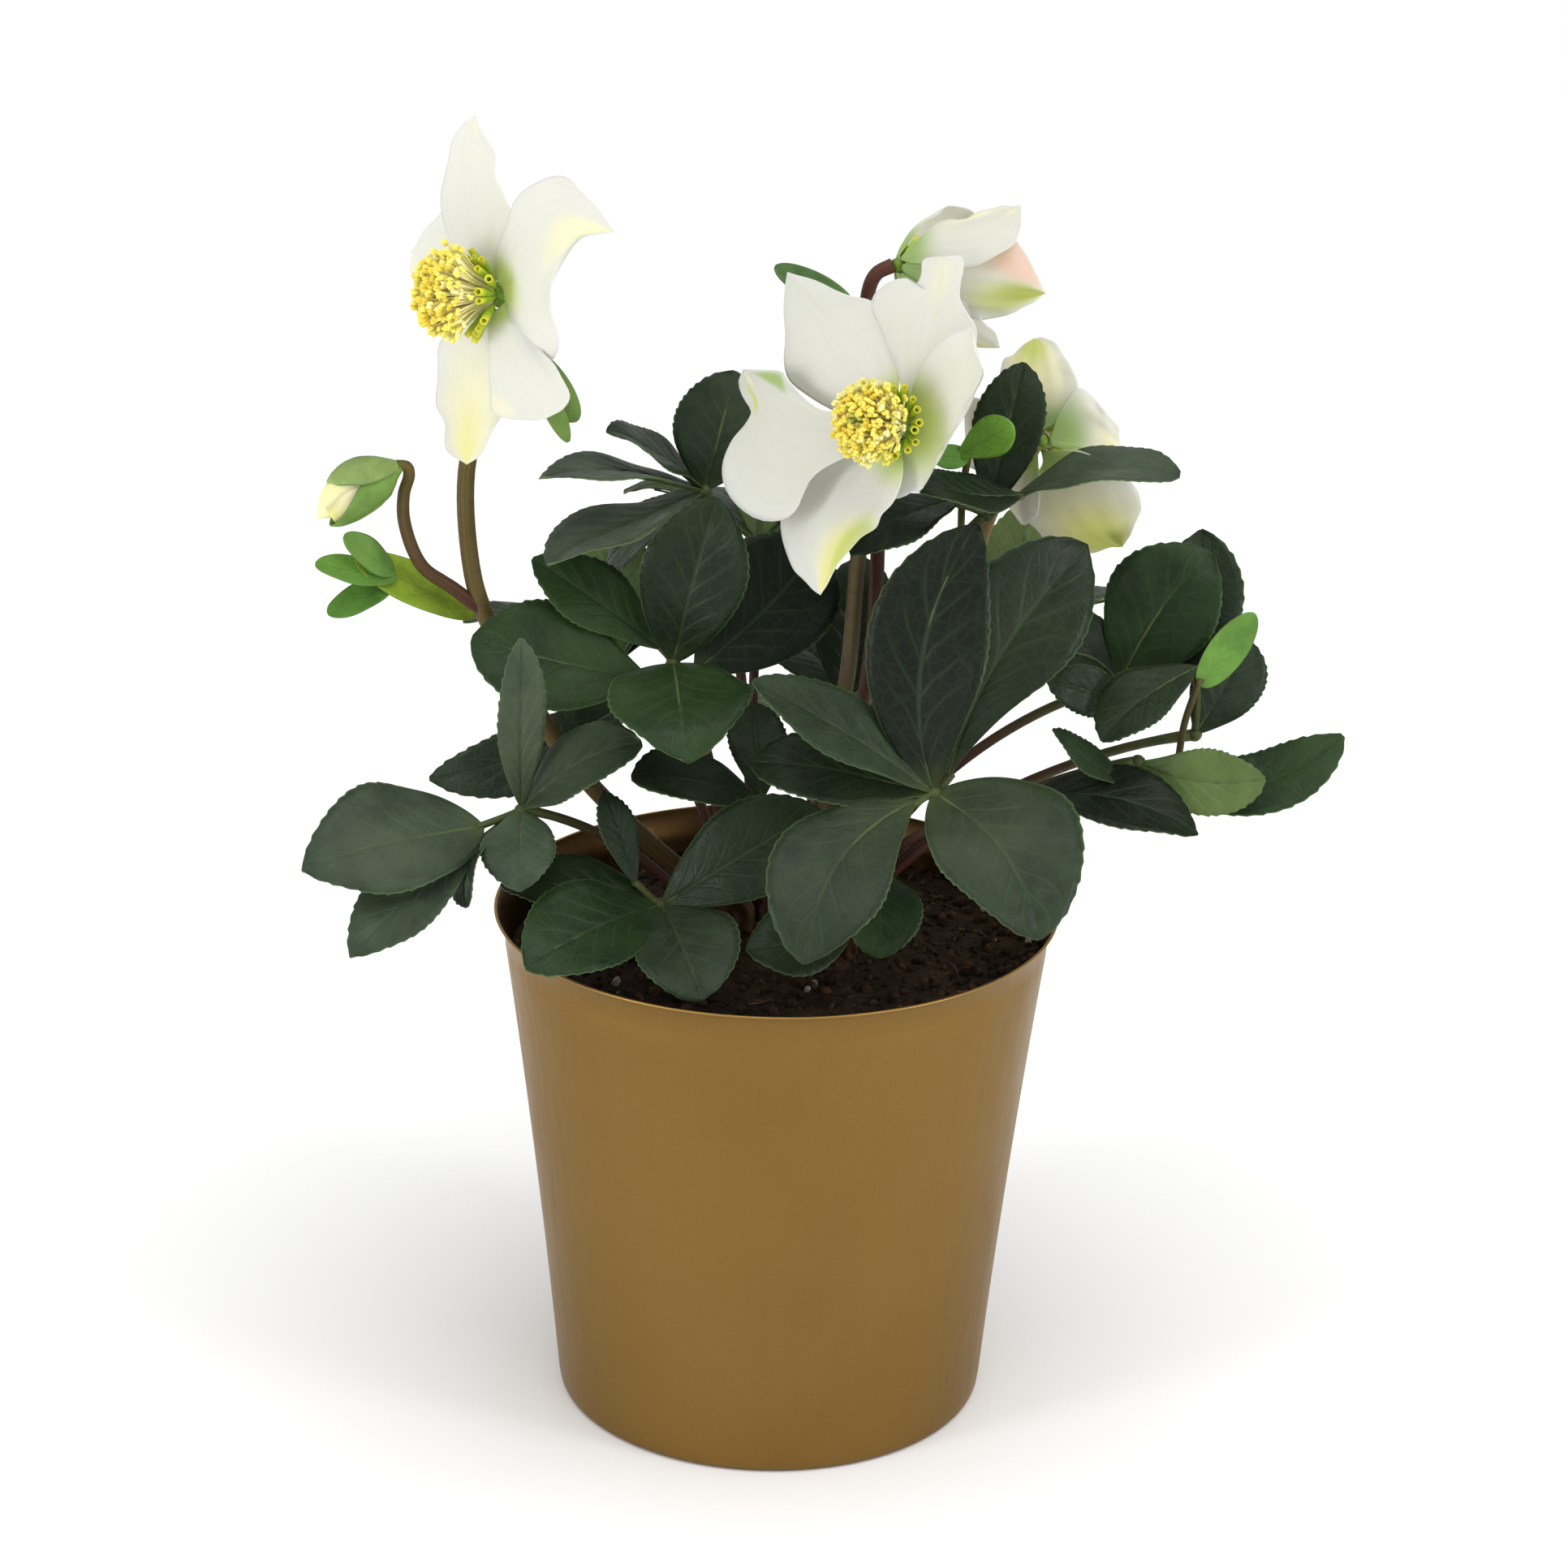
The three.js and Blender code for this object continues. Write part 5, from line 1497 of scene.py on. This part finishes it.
def make_soil():
    """The soil with loose crumbs and root fibres on top."""
    shape = Shape()
    edge = pot_radius(SOIL_TOP) - POT_WALL - 0.1
    radii = [(0.02 + 0.98 * (i / SOIL_RINGS) ** 0.8) * edge for i in range(SOIL_RINGS + 1)]
    low = SOIL_TOP - SOIL_DEPTH
    skirt = [(pot_radius(low) - POT_WALL - 0.4, low)]
    add_mound(shape, radii, SOIL_SIDES, soil_height, SOIL_BROWN, skirt)
    for _ in range(CRUMB_COUNT):
        x, y = soil_place(edge, 0.02, 0.97)
        size = 0.5 + 1.5 * rng.random() ** 2.5
        turn = np.linalg.qr(rng.normal(size=(3, 3)))[0] * rng.uniform(0.5, 1.1, (3, 1)) * size
        colour = SOIL_BROWN * rng.uniform(0.5, 1.9)
        if rng.random() < PERLITE_SHARE:
            colour = PERLITE_GREY
        elif rng.random() < BARK_SHARE:
            colour = BARK_BROWN
        z = soil_height(x, y) + 0.3 * size
        turn = turn if np.linalg.det(turn) > 0 else -turn
        add_lump(shape, (x, y, z), turn, 0, 0.5, colour, rings=4, sides=6)
    for _ in range(ROOT_COUNT):
        x, y = soil_place(edge, 0.1, 0.9)
        way = rng.uniform(0, 2 * math.pi)
        step = rng.uniform(1.5, 3.2)
        turns = [way, way + 0.2, way + 0.4]
        flat = [(x + step * i * math.cos(a), y + step * i * math.sin(a)) for i, a in enumerate(turns)]
        points = [(px, py, soil_height(px, py) + 0.7) for px, py in flat if math.hypot(px, py) < edge - 1]
        if len(points) == len(turns):
            colour = ROOT_TAN * rng.uniform(0.5, 1.2)
            add_tube(shape, through(points, 2), ROOT_RADIUS, 0, 0.5, colour, sides=5)
    shape.piece("soil", [soil_skin], name="potting_soil")


CROWN_RINGS, CROWN_SIDES = 22, 72
CROWN_KNOBS, CROWN_FALL = 0.7, 2.4
STUBS_PER_STALK = 3
CROWN_BROWN = srgb(66, 48, 34)
CROWN_STUB = srgb(96, 66, 44)


def crown_height(x, y):
    """Height of the crown's knobbly top, which falls off at its edge."""
    knobs = CROWN_KNOBS * noise.fractal(Vector((x, y, 9.0)) / 5, 0.8, 2.0, 4)
    fall = CROWN_FALL * smoothstep(0.7, 1.0, math.hypot(x, y) / CROWN_RADIUS)
    return CROWN_TOP - fall + knobs


def make_crown():
    """The knobbly crown with stubs of old stalks round each petiole and stem."""
    shape = Shape()
    radii = np.linspace(0.03, 1, CROWN_RINGS) * CROWN_RADIUS
    add_mound(shape, radii, CROWN_SIDES, crown_height, CROWN_BROWN)
    feet = [leaf["foot"] for leaf in LEAVES.values()] + [stem["foot"] for stem in STEMS.values()]
    for x, y in feet:
        for _ in range(STUBS_PER_STALK):
            dx, dy = rng.uniform(-1.4, 1.4, 2)
            tall = rng.uniform(2.5, 5.0)
            axes = ((1.5, 0, 0), (0, 1.5, 0), (dx * 0.4, dy * 0.4, tall))
            seed, colour = rng.random(), CROWN_STUB * rng.uniform(0.6, 1.2)
            add_lump(shape, (x + dx, y + dy, CROWN_TOP), axes, 0, seed, colour)
    shape.piece("crown", [bark_skin])


GOLD = srgb(133, 104, 55)
# The pot's inner wall is painted a darker brown gold: painted shade inside the pot.
GOLD_INSIDE_SHADE = srgb(80, 60, 36)
POT_SIDES = 192
# The rounding at the pot's foot and lip: distance inwards, then height or drop below the top.
FOOT_ROUNDING = ((2.4, 0), (1.2, 0.15), (0.4, 0.7), (0.02, 1.6))
LIP_ROUNDING = ((0, 0.25), (0.2, 0), (0.6, 0), (0.8, 0.25))


def make_pot():
    """The thin spun shell: rounded foot, wall, flared lip, and back down inside."""
    shape = Shape()
    foot = POT_BASE_RADIUS
    outside = [(0, 0), (foot * 0.5, 0)]
    outside += [(foot - gap, z) for gap, z in FOOT_ROUNDING]
    wall = np.linspace(4, POT_SHOULDER_HEIGHT, 26)
    flare = np.linspace(POT_SHOULDER_HEIGHT + 1, POT_HEIGHT - 0.6, 9)
    heights = [*wall, *flare]
    outside += [(pot_radius(z), z) for z in heights]
    lip = pot_radius(POT_HEIGHT) - 0.05
    edge = [(lip - gap, POT_HEIGHT - drop) for gap, drop in LIP_ROUNDING]
    inside = [(pot_radius(z) - POT_WALL, z) for z in reversed(heights) if z > 6]
    inside += [(foot - POT_WALL - 1.2, POT_WALL + 0.4), (foot * 0.5, POT_WALL), (0, POT_WALL)]
    profile = [*outside, *edge, *inside]
    # The lip's rounded edge is painted half as bright again: a painted highlight along the rim.
    paints = [GOLD] * len(outside) + [GOLD * 1.5] * 3 + [GOLD_INSIDE_SHADE] * (len(inside) + 1)
    add_lathe(shape, profile, (0, 0, 0), (0, 0, 1), 0, 0.0, np.array(paints), sides=POT_SIDES)
    shape.piece("pot", [gold_skin], name="gold_cover_pot")


make_soil()
make_crown()
make_pot()

# ---------------------------------------------------------------- floor and light

SKY_STRENGTH = 0.62


def make_floor():
    """A wide white floor."""
    mesh = bpy.data.meshes.new("floor")
    reach = 12.0
    corners = [(-reach, -reach, 0), (reach, -reach, 0), (reach, reach, 0), (-reach, reach, 0)]
    mesh.from_pydata(corners, [], [(0, 1, 2, 3)])
    floor = bpy.data.objects.new("floor", mesh)
    bpy.context.scene.collection.objects.link(floor)
    n = Nodes("floor_white")
    soft = n.noise(n.object_place(), 3.0, 2)
    colour = n.mix(soft, (0.94, 0.94, 0.94), (0.96, 0.96, 0.958))
    mesh.materials.append(n.finish(colour, 0.85, Specular_IOR_Level=0.05))


def add_light(name, kind, place, aim, energy, **settings):
    """A light at a place in metres, turned to shine at another."""
    data = bpy.data.lights.new(name, kind)
    data.energy = energy
    for key, value in settings.items():
        setattr(data, key, value)
    light = bpy.data.objects.new(name, data)
    bpy.context.scene.collection.objects.link(light)
    light.location = place
    light.rotation_euler = (Vector(aim) - Vector(place)).to_track_quat("-Z", "Y").to_euler()


def make_light():
    """An even white sky, a wide soft sun from above, and two low softboxes beside the front."""
    world = bpy.data.worlds.new("studio")
    bpy.context.scene.world = world
    world.use_nodes = True
    back = world.node_tree.nodes["Background"]
    back.inputs["Color"].default_value = (1.0, 1.0, 1.0, 1)
    back.inputs["Strength"].default_value = SKY_STRENGTH
    add_light("sun", "SUN", (0.3, -0.5, 2.0), (0, 0, 0), 1.45, angle=math.radians(60))
    tall = {"shape": "RECTANGLE", "size": 0.28, "size_y": 0.7}
    add_light("left_box", "AREA", (-1.05, -0.75, 0.35), (0, 0, 0.1), 6.5, **tall)
    add_light("right_box", "AREA", (1.1, -0.6, 0.35), (0, 0, 0.1), 5.5, **tall)


make_floor()
make_light()
bpy.context.scene.view_settings.view_transform = "Standard"
